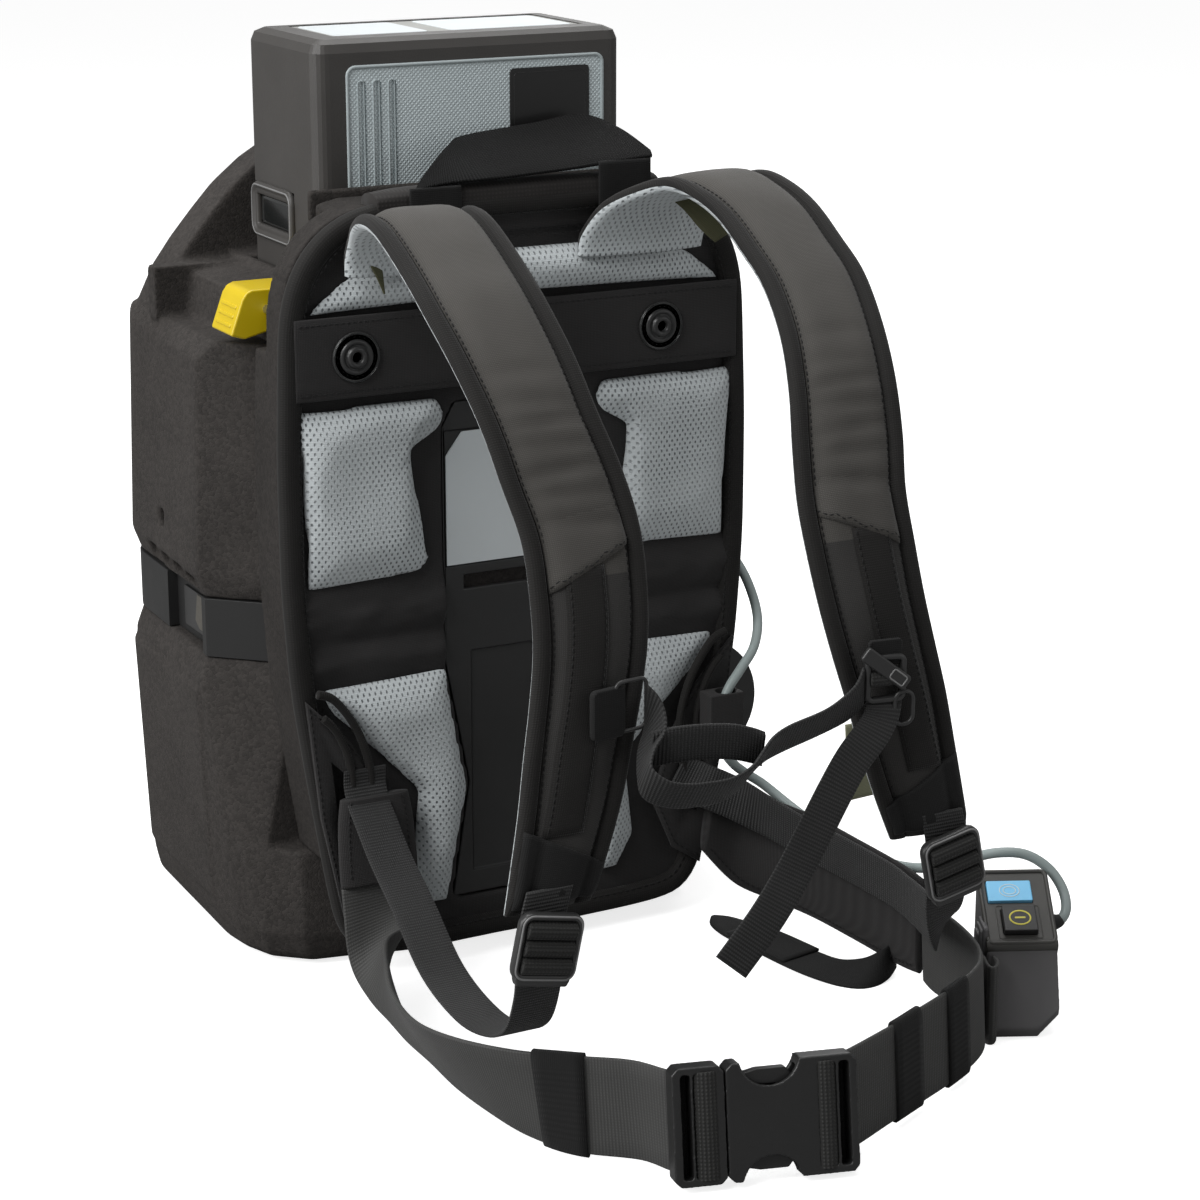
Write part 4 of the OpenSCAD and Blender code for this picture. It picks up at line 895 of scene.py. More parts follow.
def battery_trim():
    """The charge window, the edge of the slate panel and its ribs, and the bare plates."""
    rim("charge_window_frame", SIDE_FACE, rounded(27.5, 13.5, 6),
        [(-5.4, -3), (-5.0, 0.6), (-4.2, 1.6), (-2.6, 1.2), (-1.4, 1.5), (-0.3, 2.7),
         (1.0, 2.6), (1.9, 1.4), (2.2, -0.6)], "battery", body="battery",
        replaces="battery_window_bezel")
    # the light rim round the charge window's frame is a painted highlight
    rim("charge_window_edge", SIDE_FACE, rounded(27.9, 13.9, 6.2),
        [(-0.8, 2.4), (-0.2, 3.0), (0.5, 2.7), (0.3, 2.0)], "worn", body="battery")
    plate("charge_window_glass", SIDE_FACE, rounded(22.6, 8.6, 3),
          [(0, -3), (0, -1.6), (1.2, -0.9), (2.4, -0.6)], "glass", body="battery",
          slot="window_clear", replaces="battery_window")
    rim("slate_panel_edge", FRONT_FACE, rounded(77.4, 58.9, 5),
        [(-1.5, -0.3), (-1.1, 0.5), (-0.2, 0.8), (0.6, 0.3), (0.7, -0.6)], "slate_edge",
        body="battery")
    for number, x in enumerate((-66, -57, -48)):
        rim(f"slate_panel_rib_{number}", FRONT_FACE.moved(x - 3.25, 1.1), rounded(1.8, 50, 1.7),
            [(-0.5, -0.4), (-0.1, 0.45), (0.5, -0.3)], "slate_edge", body="battery")
    plate("battery_plate_front", LABEL_FACE, rounded(24.6, 21.4, 2.5),
          [(0, -0.6), (0, 0.2), (0.3, 0.5)], "satin", body="battery",
          replaces="battery_label_plates")
    rim("battery_plate_line", LABEL_FACE, rounded(22, 18.8, 2),
        [(-0.3, 0.4), (0, 0.65), (0.3, 0.4)], "plastic", body="battery")
    for name, x, half_w, half_h, lift, look in (("base", 0, 75.8, 31.8, 0, "top_plate"),
                                                ("left", -44.5, 28, 28, 0.35, "white"),
                                                ("right", 34.5, 37.5, 28, 0.35, "white")):
        plate(f"battery_top_{name}", TOP_FACE.moved(x, 0), rounded(half_w, half_h, 4),
              [(0, -0.6), (0, 0.1 + lift), (0.3, 0.3 + lift)], look, body="battery")


# ---- Back panel ----

PANEL_HALF = 142
PANEL_TOP = 434
PANEL_CORNER = 53
PANEL_FACE = Plane(at(0, 3.8, 0))
BAND_LOW, BAND_HIGH = 332, 376
BAND_THICK = 0.002
STUD_STITCH_RADIUS = 0.0108
PAD_CROWN = 0.0032
PAD_SUNK = 0.0012
PAD_EDGE = 11  # mm over which a pad rises from its seam
CUSHION_CAP = 0.0045  # metres that the cloth may move a point
# outline of the top pad and of the right-hand pads, in mm, by the height that each lies above
PADS = {
    352: [(-124, 377), (-107, 391), (-87, 404), (-50, 406), (50, 406), (87, 404), (107, 391),
          (124, 377)],
    200: [(51, 330), (46, 322), (47, 314), (62, 298), (57, 235), (64, 229), (128, 228),
          (134, 326)],
    0: [(122, 174), (47, 174), (34, 102), (46, 36), (57, 36), (69, 54), (70, 104), (92, 132),
        (116, 160)],
}


def panel_outline(inset):
    """Right half of the panel's outline, from the middle of the foot to the top, then the left."""
    w = PANEL_HALF - inset
    half = [(w - 70, 10 + inset), (w - 33, 12 + inset), (w - 25, 30 + inset), (w - 13, 110),
            (w - 4, 170), (w, 230), (w, 300), (w - 3, 378)]
    for k in range(6):
        t = math.radians(10 + 74 * k / 5)
        half.append((w - 57 + PANEL_CORNER * math.cos(t),
                     PANEL_TOP - PANEL_CORNER - inset + PANEL_CORNER * math.sin(t)))
    return half + [(-x, z) for x, z in reversed(half)]


def neighbours(loop):
    """Each point of a closed line, between the one before it and the one after it."""
    return zip(loop[-1:] + loop[:-1], loop, loop[1:] + loop[:1])


def even(loop, step):
    """A closed line with its points a step apart, and its corners relaxed."""
    dense, spare = [], 0.0
    for a, b in zip(loop, loop[1:] + loop[:1]):
        span = math.dist(a, b)
        while spare < span:
            dense.append(tuple(p + (q - p) * (spare / span) for p, q in zip(a, b)))
            spare += step
        spare -= span
    for _ in range(10):
        dense = [tuple((p + 2 * q + r) / 4 for p, q, r in zip(*three))
                 for three in neighbours(dense)]
    made = []
    for before, place, after in neighbours(dense):
        dx, dz = after[0] - before[0], after[1] - before[1]
        span = math.hypot(dx, dz)
        made.append((place, (dz / span, -dx / span)))
    return made


def binding():
    """Soft woven edge tape, rolled round the whole panel and sewn down inside it."""
    profile = [(6.3 * eased(c, 0.8), 5.9 * eased(s, 0.8)) for c, s in turns(18)]
    made = rim("panel_edge_tape", PANEL_FACE, even(panel_outline(6.4), 5), profile, "edge",
               replaces="panel_binding")
    for vertex in made.data.vertices:
        push = noise.noise(vertex.co * 22) * 0.0009 + noise.noise(vertex.co * 70) * 0.0004
        vertex.co.y += push
        vertex.co.x += push * 0.5
    inner = [PANEL_FACE.point(a, b, 4.9) for (a, b), _ in even(panel_outline(11.2), 4)]
    stitches("panel_edge_stitches", [inner + inner[:1]], 0.0042, 0.0026)


def swell(made, pressure, cap, frames=18):
    """Cloth under pressure, applied, with each point's way capped."""
    start = [v.co.copy() for v in made.data.vertices]
    cloth = modify(made, "CLOTH")
    cloth.settings.use_pressure = True
    cloth.settings.uniform_pressure_force = pressure
    cloth.settings.effector_weights.gravity = 0
    cloth.settings.quality = 4
    cloth.point_cache.frame_start = 1
    cloth.point_cache.frame_end = frames
    scene = bpy.context.scene
    for step in range(1, frames + 1):
        scene.frame_set(step)
    apply_modifiers(made)
    scene.frame_set(1)
    for vertex, origin in zip(made.data.vertices, start):
        way = vertex.co - origin
        if way.length > cap:
            vertex.co = origin + way * (cap / way.length)


def hump(z, middle, half_width):
    """1 at the middle, falling to 0 on both sides."""
    return math.exp(-((z - middle) / half_width) ** 2)


def inside_by(outline, x, z):
    """How far a place is from the outline's nearest edge, in mm."""
    best = math.inf
    for a, b in zip(outline, outline[1:] + outline[:1]):
        dx, dz = b[0] - a[0], b[1] - a[1]
        t = max(0.0, min(1.0, ((x - a[0]) * dx + (z - a[1]) * dz) / (dx * dx + dz * dz)))
        best = min(best, math.hypot(x - a[0] - dx * t, z - a[1] - dz * t))
    return best


def mesh_cushions():
    """The five spacer-mesh pads: swollen by a cloth simulation, held down where they are sewn."""
    made = remesh(copy_of("mesh_cushions", "mesh_pads", "mesh", fill=0.6), CLOTH_VOXEL, 2)
    swell(made, 4.0, CUSHION_CAP)
    front = at(0, 1.5, 0).y
    for vertex in made.data.vertices:
        if vertex.co.y > front:
            continue
        x, z = vertex.co.x * 1000, vertex.co.z * 1000
        pad = next(outline for foot, outline in PADS.items() if z > foot)
        sewn = inside_by(pad, x if min(pad)[0] < 0 else abs(x), z)
        vertex.co.y -= PAD_CROWN * (1 - hump(sewn, 0, PAD_EDGE)) - PAD_SUNK
        vertex.co.y += (noise.noise(Vector((x * 0.022, 0.7, z * 0.022))) * 0.0022
                        + noise.noise(vertex.co * 60) * 0.0003) * min(1.0, sewn / 12)


def dark_panel():
    """The woven cover of the panel, with padded rolls along its top and across the waist."""
    made = remesh(copy_of("panel_cover", "back_panel", "panel", fill=0.4), CLOTH_VOXEL, 2)
    for vertex in made.data.vertices:
        z = vertex.co.z * 1000
        waist = hump(z, 212, 13) + 0.8 * hump(z, 184, 9)
        top = hump(z, 427, 7) + 0.55 * hump(z, 415.5, 1.6)
        creases = noise.noise(Vector((vertex.co.x * 60, 0.4, vertex.co.z * 150)))
        if vertex.co.y < at(0, 6, 0).y:
            vertex.co.y -= (0.0052 * waist - 0.0014 * hump(z, 197, 2.2)
                            + 0.0020 * creases * min(waist, 1) + 0.0048 * top)
            vertex.co.y -= 0.0008 * noise.noise(vertex.co * 25)
    # the roll over the top of the frame, and the sewn strip under it
    line = stations([(-84, 9, 429), (-60, 9, 431), (0, 9, 431.5), (60, 9, 431), (84, 9, 429)],
                    (0, 0, 1), 17)
    band = Band(line, 12)
    band.sweep("panel_top_roll", cushion_section(band, 0.021, 0.006), "roll", fill=0.6)
    stitches("panel_top_stitches", [
        [at(x, 2.6, z) for x in range(-96, 97, 4)] for z in (409.5, 412.5)])


def upper_band():
    """The band across the shoulders, sewn along both edges, with its two press studs."""
    middle = (BAND_LOW + BAND_HIGH) / 2
    half = [(0, -2.5), (60, -2.5), (120, -2.4), (133, -1.7)]
    places = [(-x, y) for x, y in half[:0:-1]] + half
    line = stations([(x, y, middle) for x, y in places], (0, 0, 1), BAND_HIGH - BAND_LOW)
    webbing("shoulder_band", line, BAND_THICK, "panel", slot="webbing_black", replaces="cross_band")
    stitches("shoulder_band_stitches", [
        [at(x, -3.5, z) for x in range(-130, 131, 4)] for z in (BAND_LOW + 3.5, BAND_HIGH - 3.5)])
    out = (0, -1, 0)
    for number, x in enumerate((-99, 84)):
        place = at(x, -3.4, 354)
        lathe(f"stud_ring_{number}", place, out,
              [(13.4, 0), (13.6, 0.7), (13.3, 1.3), (12.7, 1.5), (12.1, 1.2), (11.8, 0.7),
               (9.9, 0.7), (9.6, 1.3), (9.0, 2.2), (8.2, 2.5), (7.4, 2.2), (6.9, 1.5),
               (6.3, 1.4), (5.8, 2.4), (5.2, 3.3), (4.4, 3.6), (3.4, 3.4), (2.9, 2.6),
               (2.7, 1.2), (1.4, 0.9)], "hardware", replaces=None if number else "press_studs")
        lathe(f"stud_rim_{number}", place, out,
              [(13.0, 1.2), (13.2, 1.7), (12.9, 1.9), (12.6, 1.6), (12.7, 1.2)], "glass")
        seam = [place + Vector((c * STUD_STITCH_RADIUS, -0.0009, s * STUD_STITCH_RADIUS))
                for c, s in turns(30)]
        stitches(f"stud_stitches_{number}", [seam + seam[:1]], 0.003, 0.0018, 0.0004)


# ---- Shoulder straps ----

STRAP_WIDTH = 64
STRAP_LOW = [
    (85, -189, 356, 0.97), (80, -203, 330, 1), (76, -214, 305, 0.98), (76.5, -223, 280, 0.97),
    (79, -230, 255, 0.95), (84, -234.5, 230, 0.93), (90, -238, 205, 0.9),
    (95.5, -240.5, 180, 0.86), (102, -242, 155, 0.8), (109, -243, 131, 0.72)]
STRAP_RIGHT = [
    (69, -6.9, 398, 1.2), (70, -10, 409, 1.2), (74, -20, 424, 1.12), (82, -36, 434, 1.04),
    (89, -56, 440, 1), (92, -78, 437, 0.97), (94, -100, 429, 0.95), (94, -124, 415.5, 0.94),
    (94, -146, 401, 0.94), (90, -170, 380, 0.94)]
STRAP_LEFT = [
    (68, -6.9, 398, 1.18), (69, -10, 407, 1.18), (73, -20, 418, 1.12), (81, -38, 427, 1.06),
    (88, -60, 434, 1.03), (91, -80, 435, 1.02), (92, -98, 430, 1.02), (92, -124, 416.5, 1.02),
    (92, -146, 403, 1.02), (89, -170, 381, 1)]
BORDER = 0.0088
BORDER_LOW, BORDER_ROLL = 0.0012, 0.0036  # height of the border's edges, and of its roll
STRAP_EDGE, STRAP_CROWN = 0.0010, 0.0068  # height of the pad beside its border, and inside
STRAP_UNDER = 0.0046
CREASE_HALF = 0.0034
PATCH_DEPTH = 0.0016  # how far a patch reaches into the pad
PATCH_SUNK = 0.0012  # how far under the face a patch starts that fades in
PATCH_EDGE = 0.55  # share of its height that a patch has at its edges
# sides of the section that are border tape, and spacer mesh
BORDER_SIDES = ((9, 18), (29, 38))
MESH_SIDES = (18, 29)
LINING_TOP = 0.286  # height in metres under which the cover is the darker lining
# creases across the pad: share of the length, depth in metres, slant
CREASES = [(0.475, 0.0011, 0.3), (0.497, 0.0016, -0.2), (0.521, 0.0013, 0.25),
           (0.548, 0.0018, -0.35), (0.573, 0.0012, 0.1), (0.604, 0.0014, 0.3), (0.44, 0.0007, 0.1)]
LOWER_LEFT = [
    (111.5, -250.6, 144), (115, -250.2, 129), (117, -249.6, 108), (115.5, -244, 88),
    (114, -230, 66), (112, -204, 52), (111, -168, 46), (109, -122, 52), (106, -80, 72),
    (103, -45, 86), (102, -24, 100), (101.5, -13, 108), (101, -6.8, 117), (100.5, -6.3, 126)]
LOWER_RIGHT = [
    (111.5, -250.6, 144, 1, 0, 0), (115, -250.2, 129, 1, 0, 0), (117, -249.6, 108, 1, 0, 0),
    (119, -245, 90, 1, 0.1, 0), (125, -235, 74, 0.8, 0.35, 0.3), (136, -217, 63, 0.45, 0.4, 0.75),
    (147, -191, 58, 0.2, 0.25, 1), (153, -165, 57, 0.05, 0.12, 1), (155, -140, 58, 0, 0.05, 1),
    (152.4, -100, 59, 0, 0.03, 1), (148.2, -62, 60, 0, 0.05, 1), (140.5, -34, 65, 0.1, 0.1, 1),
    (128, -22, 73, 0.3, 0.12, 0.9), (119, -18, 78, 0.35, 0.1, 0.9),
    (111, -15.4, 82, 0.4, 0.05, 0.85), (102.5, -8.4, 86, 0.5, 0, 0.85),
    (94, -6.6, 89.5, 0.5, 0, 0.85)]
LOWER_WIDTH = 25
LOWER_THICK = 0.0018


class Strap:
    """A padded shoulder strap: a crowned middle between two rolled borders."""

    def __init__(self, side, top):
        line = [[x, y, z, 1, 0, 0, w * STRAP_WIDTH] for x, y, z, w in top + STRAP_LOW]
        self.side = side
        self.name = "right" if side > 0 else "left"
        self.band = Band(line if side > 0 else mirrored(line), 10)
        self.share = [run / self.band.runs[-1] for run in self.band.runs]

    def ring_at(self, z):
        """The ring nearest a height in mm, on the front of the strap."""
        rings = [i for i, share in enumerate(self.share) if share > 0.4]
        return min(rings, key=lambda i: abs(self.band.places[i].z * 1000 - z))

    def top(self, i, x):
        """Height of the front face at ring i, x metres from the middle."""
        half = self.band.widths[i] / 2
        d = max(half - abs(x), 0.0)
        flat = min(1.0, self.share[i] / 0.035 + 0.35) * min(1.0, (1 - self.share[i]) / 0.03 + 0.4)
        if d < BORDER:
            bow = (d - BORDER / 2) / (BORDER / 2)
            roll = BORDER_LOW + BORDER_ROLL * math.sqrt(max(0.0, 1 - bow * bow))
            return roll * flat if d > 0 else 0.0
        rise = 1 - math.exp(-(d - BORDER) / 0.0042)
        height = STRAP_EDGE + (STRAP_CROWN - STRAP_EDGE) * rise
        across = x / half
        for place, depth, slant in CREASES:
            away = (self.share[i] - place - slant * 0.02 * across) * self.band.runs[-1]
            edge = 0.75 + 0.5 * noise.noise(Vector((across * 2.2, place * 40, 0.3 * self.side)))
            height -= depth * rise * edge * hump(away, 0, CREASE_HALF)
        height += 0.0008 * rise * noise.noise(
            Vector((across * 1.5, self.share[i] * 16, self.side * 2)))
        return height * flat

    def on_top(self, i, x, lift):
        return self.band.point(i, x, self.top(i, x) + lift)

    def section(self, i):
        half = self.band.widths[i] / 2
        edge = [0.0, 0.0006, 0.0016, 0.003, 0.0044, 0.0058, 0.0072, 0.0082, 0.0088, 0.0095,
                0.0108, 0.013, 0.0165]
        inwards = edge + [edge[-1] + (half - edge[-1]) * k / 5 for k in range(1, 6)]
        right = [(half - d, self.top(i, half - d)) for d in inwards]
        left = [(-a, self.top(i, -a)) for a, _ in right[:-1]]
        angles = [math.pi * k / 12 for k in range(1, 12)]
        under = [(half * math.cos(t), -STRAP_UNDER * math.sin(t) ** 0.5) for t in angles]
        return right[::-1] + under + left

    def patch(self, name, corners, lift, look, rows=14, columns=12, fade=False):
        """A layer that lies on the strap. corners(u, v) gives (ring, metres across)."""
        verts, uvs, runs = [], [], self.band.runs
        for under in (False, True):
            for r in range(rows + 1):
                for c in range(columns + 1):
                    i, x = corners(r / rows, c / columns)
                    low = math.floor(i)
                    high = min(low + 1, len(runs) - 1)
                    rise = lift
                    if fade:
                        rise = (lift + PATCH_SUNK) * (r / rows) ** 0.8 - PATCH_SUNK
                    if r == rows or not fade and c in (0, columns):
                        rise *= PATCH_EDGE
                    if under:
                        rise = -PATCH_DEPTH
                    a, b = [self.on_top(j, x, rise) for j in (low, high)]
                    verts.append(a.lerp(b, i - low))
                    uvs.append((x, runs[low] + (runs[high] - runs[low]) * (i - low)))
        wide = columns + 1
        size = (rows + 1) * wide
        grid = [(p, p + 1, p + 1 + wide, p + wide)
                for p in range(rows * wide) if p % wide < columns]
        faces = grid + [tuple(q + size for q in quad[::-1]) for quad in grid]
        edge = [*range(columns), *range(columns, size - 1, wide),
                *range(size - 1, size - wide, -1), *range(size - wide, 0, -wide)]
        faces += [(b, a, a + size, b + size) for a, b in zip(edge, edge[1:] + edge[:1])]
        if self.side < 0:
            faces = [face[::-1] for face in faces]
        new_object(name, verts, faces, look, uvs, slot=None)

    def between(self, start, end, inset):
        """corners() for a patch between two slanted lines, each (inner ring, outer ring)."""
        def corners(u, v):
            first, last = [inner + (outer - inner) * v for inner, outer in (start, end)]
            i = first + (last - first) * u
            return i, self.side * (2 * v - 1) * (self.band.widths[int(i)] / 2 - inset)
        return corners

    def cover(self):
        """The pad itself, with the seams inside its borders."""
        def mark(k):
            if MESH_SIDES[0] <= k < MESH_SIDES[1]:
                return 1
            return 2 if any(low <= k < high for low, high in BORDER_SIDES) else 0
        made = self.band.sweep(f"strap_{self.name}", self.section,
                               ["strap", "mesh", "border", "strap_low"], mark, fill=0.7,
                               slot="strap_charcoal", replaces=f"shoulder_strap_{self.name}")
        for face in made.data.polygons:
            if face.material_index == 0 and face.center.z < LINING_TOP:
                face.material_index = 3
        every = range(4, len(self.band.places) - 3)
        stitches(f"strap_{self.name}_stitches", [
            [self.on_top(i, edge * (self.band.widths[i] / 2 - BORDER - 0.0014), 0.0001)
             for i in every] for edge in (-1, 1)], 0.0036, 0.0024, 0.0004)

    def flap(self):
        """The lower end of the upper cover, cut on the slant."""
        start = self.ring_at(322)
        corners = self.between((start, start), (self.ring_at(297), self.ring_at(279)),
                               BORDER + 0.0006)
        self.patch(f"strap_{self.name}_flap", corners, 0.0022, "strap", fade=True)
        ends = [corners(0.97, v / 12) for v in range(13)]
        stitches(f"strap_{self.name}_flap_stitches",
                 [[self.on_top(int(i), x, 0.0019) for i, x in ends]])

    def tape(self):
        """A strip of tape down the lower half, sewn on both sides."""
        low, high = self.ring_at(168), self.ring_at(290)

        def corners(u, v):
            return high + (low - high) * u, self.side * (0.004 + (2 * v - 1) * 0.0105)
        self.patch(f"strap_{self.name}_tape", corners, 0.0013, "border", rows=26, columns=6)
        stitches(f"strap_{self.name}_tape_stitches", [
            [self.on_top(i, x, 0.0013) for i in range(high + 1, low)]
            for x in (self.side * -0.0048, self.side * 0.0128)], 0.0036, 0.0024, 0.0003)

    def foot(self):
        """The patch that holds the webbing at the foot."""
        last = len(self.band.places) - 3
        corners = self.between((self.ring_at(151), self.ring_at(172)), (last, last), 0.002)
        self.patch(f"strap_{self.name}_foot", corners, 0.0022, "keeper")


def straps():
    lower = {"right": [[*s, LOWER_WIDTH] for s in LOWER_RIGHT],
             "left": mirrored(stations(LOWER_LEFT, (1, 0, 0), LOWER_WIDTH))}
    for side, top in ((1, STRAP_RIGHT), (-1, STRAP_LEFT)):
        strap = Strap(side, top)
        strap.cover()
        strap.flap()
        strap.tape()
        strap.foot()
        webbing(f"lower_webbing_{strap.name}", lower[strap.name], LOWER_THICK,
                replaces="strap_webbing" if side < 0 else None)


def adjusters():
    """Ladder frames at the feet of the straps, with the webbing rolled between their bars."""
    for side, name in ((1, "right"), (-1, "left")):
        lean = math.radians(-12 * side)
        plane = Plane(at(side * 116, -256, 116), (math.cos(lean), 0, -math.sin(lean)),
                      (math.sin(lean), 0, math.cos(lean)))
        loop = rounded(15.4, 15.2, 4.5)
        rim(f"adjuster_{name}_frame", plane.moved(0, 1), loop,
            [(-1.7, -2.6), (-1.9, 1.2), (-1.2, 2.4), (0.6, 2.6), (1.7, 1.6),
             (1.9, -1.4), (1.2, -2.9)], "hardware",
            replaces="strap_adjusters" if side > 0 else None)
        # the light rim along the frame's top edge is a painted highlight
        rim(f"adjuster_{name}_edge", plane.moved(0, 1), loop,
            [(0.0, 2.5), (0.5, 2.9), (1.2, 2.5), (0.9, 2.0)], "worn")
        for number, (up, half) in enumerate(((9.4, 4.6), (0.6, 4.4), (-8.2, 4.6))):
            turned = Plane(plane.point(0, up, 0.6), plane.up, -plane.right)
            bar_roll(f"adjuster_{name}_roll_{number}", turned, 26.5, half, 4.3)
        lip = [(-15, -15), (-13.5, -18.5), (13.5, -18.5), (15, -15), (14, -12.8), (-14, -12.8)]
        prism(f"adjuster_{name}_lip", plane, lip, -3, 2.2, "hardware", 1.0)


# ---- Carry handle ----

HANDLE_THICK = 0.0019


def pair(front, rear):
    """A station from a band's front and rear edge, in mm."""
    f, r = Vector(front), Vector(rear)
    return [*((f + r) / 2), *(r - f), (r - f).length]


def handle():
    edges = [((-63, -2.3, 437.5), (-57, 5, 441)), ((-54, -2.3, 440), (-42, 20, 449)),
             ((-38, -2.3, 441.5), (-26, 36, 455)), ((-12, -2.3, 442), (-12, 44, 459)),
             ((30, -2.3, 444), (30, 45, 463)), ((56, -2.3, 446), (60, 45, 466)),
             ((70, -2.3, 447), (74, 28, 460)), ((79, -2.3, 447.5), (81, 4, 450))]
    webbing("handle_band", [pair(*edge) for edge in edges], HANDLE_THICK, "handle", 8,
            replaces="carry_handle")
    for name, x0, x1, top in (("left", -66, -36, 440), ("right", 46, 78, 447)):
        x = (x0 + x1) / 2
        leg = stations([(x, -2.3, 412), (x, -2.4, (412 + top) / 2), (x, -2.3, top)],
                       (1, 0, 0), x1 - x0)
        webbing(f"handle_leg_{name}", leg, HANDLE_THICK, "keeper")


# ---- Hip belt ----

BELT = 50
BELT_THICK = 0.003
LOOP_WALL, LOOP_GAP = 0.0016, 0.0002
BELT_RIGHT = [
    (165, -160.6, 31), (164.5, -170, 29), (163, -192, 29), (159, -214, 29), (153, -232, 29),
    (143, -247, 29), (126, -260, 29), (104, -272, 29), (80, -283, 29), (52, -297, 30)]
BELT_LEFT = [
    [-97, -15.2, 61.6, 1, 0, 0, 46], [-97.5, -19, 46, 1, 0, 0.15, 46],
    [-100, -28, 32, 0.8, -0.2, 0.5, 46], [-106, -42, 26, 0.4, -0.2, 0.9, 46],
    [-114, -62, 25, 0, 0, 1, 47], [-122, -92, 25, -0.25, 0, 1, 48],
    [-128, -124, 25, -0.45, 0, 0.9, 49], [-130.5, -160, 25, -0.5, 0, 0.87, 50],
    [-126, -194, 26.5, -0.4, 0, 0.9, 50], [-115, -226, 28, -0.2, 0, 0.98, 50],
    [-98, -252, 29.5, 0, 0.1, 1, 50], [-76, -272, 30, 0, 0.2, 1, 50]]
BUCKLE_AT = (-27, -309.5, 31)
BUCKLE_TURN = math.radians(-15.5)
BUCKLE_LEAN = math.radians(-12)


def in_buckle(u, v, w):
    """A point of the buckle, u along the belt, v to its back, w up, in mm of the CAD source."""
    y = v * math.cos(BUCKLE_LEAN) - w * math.sin(BUCKLE_LEAN)
    z = v * math.sin(BUCKLE_LEAN) + w * math.cos(BUCKLE_LEAN)
    x, y = (u * math.cos(BUCKLE_TURN) - y * math.sin(BUCKLE_TURN),
            u * math.sin(BUCKLE_TURN) + y * math.cos(BUCKLE_TURN))
    return (BUCKLE_AT[0] + x, BUCKLE_AT[1] + y, BUCKLE_AT[2] + z)


def buckle_end(u):
    place, middle, top = in_buckle(u, 9.4, 0), in_buckle(0, 0, 0), in_buckle(0, 0, 1)
    return [*place, *(b - a for a, b in zip(middle, top)), BELT]


def sleeve_round(name, band, first, last, sides=28, **facts):
    """A loop of tape that closes round a band: its outer face, and back along its inner face."""
    rings, uvs = [], []
    way = list(range(first, last + 1))
    for grow, order in ((LOOP_WALL, way), (LOOP_GAP, way[::-1])):
        for i in order:
            half, r = band.widths[i] / 2 + grow, BELT_THICK / 2 + grow
            rings.append([band.point(i, half * eased(c, 0.25), r * eased(s, 0.7))
                          for c, s in turns(sides)])
            uvs += [(band.runs[i], half * 2 * math.pi * k / sides) for k in range(sides)]
    loft(name, rings, "keeper", uvs, closed=True, **facts)


def belt():
    lines = {"right": ([[*p, 0, 0.1, 1, BELT] for p in BELT_RIGHT]
                       + [buckle_end(40), buckle_end(30)]),
             "left": BELT_LEFT + [buckle_end(-42), buckle_end(-32)]}
    bands = {}
    for name, line in lines.items():
        bands[name] = Band(line)
        bands[name].sweep(f"hip_belt_{name}", flat_section(bands[name], BELT_THICK - 0.0006),
                          "belt", replaces=f"belt_webbing_{name}")
    sleeve_round("belt_loop_outer", bands["right"], 37, 42, replaces="belt_keepers")
    sleeve_round("belt_loop_inner", bands["right"], 48, 53)
    sleeve_round("belt_loop_left", bands["left"], 56, 61)


def buckle_plane():
    middle = at(*in_buckle(0, 0, 0))
    return Plane(middle, at(*in_buckle(1, 0, 0)) - middle, at(*in_buckle(0, 0, 1)) - middle)


# where each half's openings lie along the belt: drawn at, and moved to, in mm
BUCKLE_MOVES = {
    "buckle_male": {-40: -41.5, -34: -36.8, -31: -35.4, -25: -24.5},
    "buckle_female": {31: 26.5, 36: 35.2, 38.5: 36.8, 42.5: 41.8}}


def buckle():
    """Both halves with soft moulded edges, and the webbing rolled round their bars."""
    plane = buckle_plane()
    for source, moves in BUCKLE_MOVES.items():
        made = copy_of(source.replace("buckle", "belt_clip"), source, "buckle")
        for vertex in made.data.vertices:
            u = (vertex.co - plane.middle).dot(plane.right) * 1000
            for drawn, moved in moves.items():
                if abs(u - drawn) < 0.2:
                    vertex.co += plane.right * ((moved - drawn) / 1000)
        remesh(made, BUCKLE_VOXEL, 3)
        # the outer face between the bars is a little crowned
        for vertex in made.data.vertices:
            way = vertex.co - plane.middle
            u, w, out = (way.dot(d) * 1000 for d in (plane.right, plane.up, plane.out))
            if out > 5.5 and -19 < u < 25:
                full = (1 - (u - 3) ** 2 / 500) * (1 - w * w / 900)
                vertex.co += plane.out * (max(full, 0) * 0.0007)
    for name, u, half in (("male", -28.6, 8.0), ("female", 30.3, 6.6)):
        bar_roll(f"belt_roll_{name}", plane.moved(u, 0, 0.6), 53, half, 7.2)
        plate(f"belt_back_{name}", plane.moved(u * 1.05, 0, -5), rounded(12, 25.5, 2),
              [(0, -1), (0, 0.8)], "keeper")


WING_RIGHT = [
    [114, -9.3, 66, 0.15, 0, 1, 50], [134, -12, 48, 0.15, 0.1, 1, 59],
    [148, -28, 41, 0, 0.1, 1, 62], [156, -60, 40, 0, 0.05, 1, 62], [160, -100, 39, 0, 0, 1, 61],
    [163, -140, 38, 0, 0, 1, 60], [165, -158, 37, 0, 0, 1, 56]]
WING_LEFT = [
    [-97, -9.7, 111, 1, 0, 0, 40], [-97, -11, 98, 1, 0, 0, 44], [-97, -13, 80, 1, 0, 0, 46],
    [-97, -15, 62, 1, 0, 0, 46]]
WING_PIPING = [
    [(127, 172), (118, 168), (108, 155), (101, 140), (97, 122), (98, 104), (102, 86)],
    [(124, 158), (117, 150), (111, 137), (108, 122), (108, 106)]]
WING_CORNER = [(133, 168), (108, 142), (93, 116), (80, 76), (94, 44), (112, 32), (126, 100)]
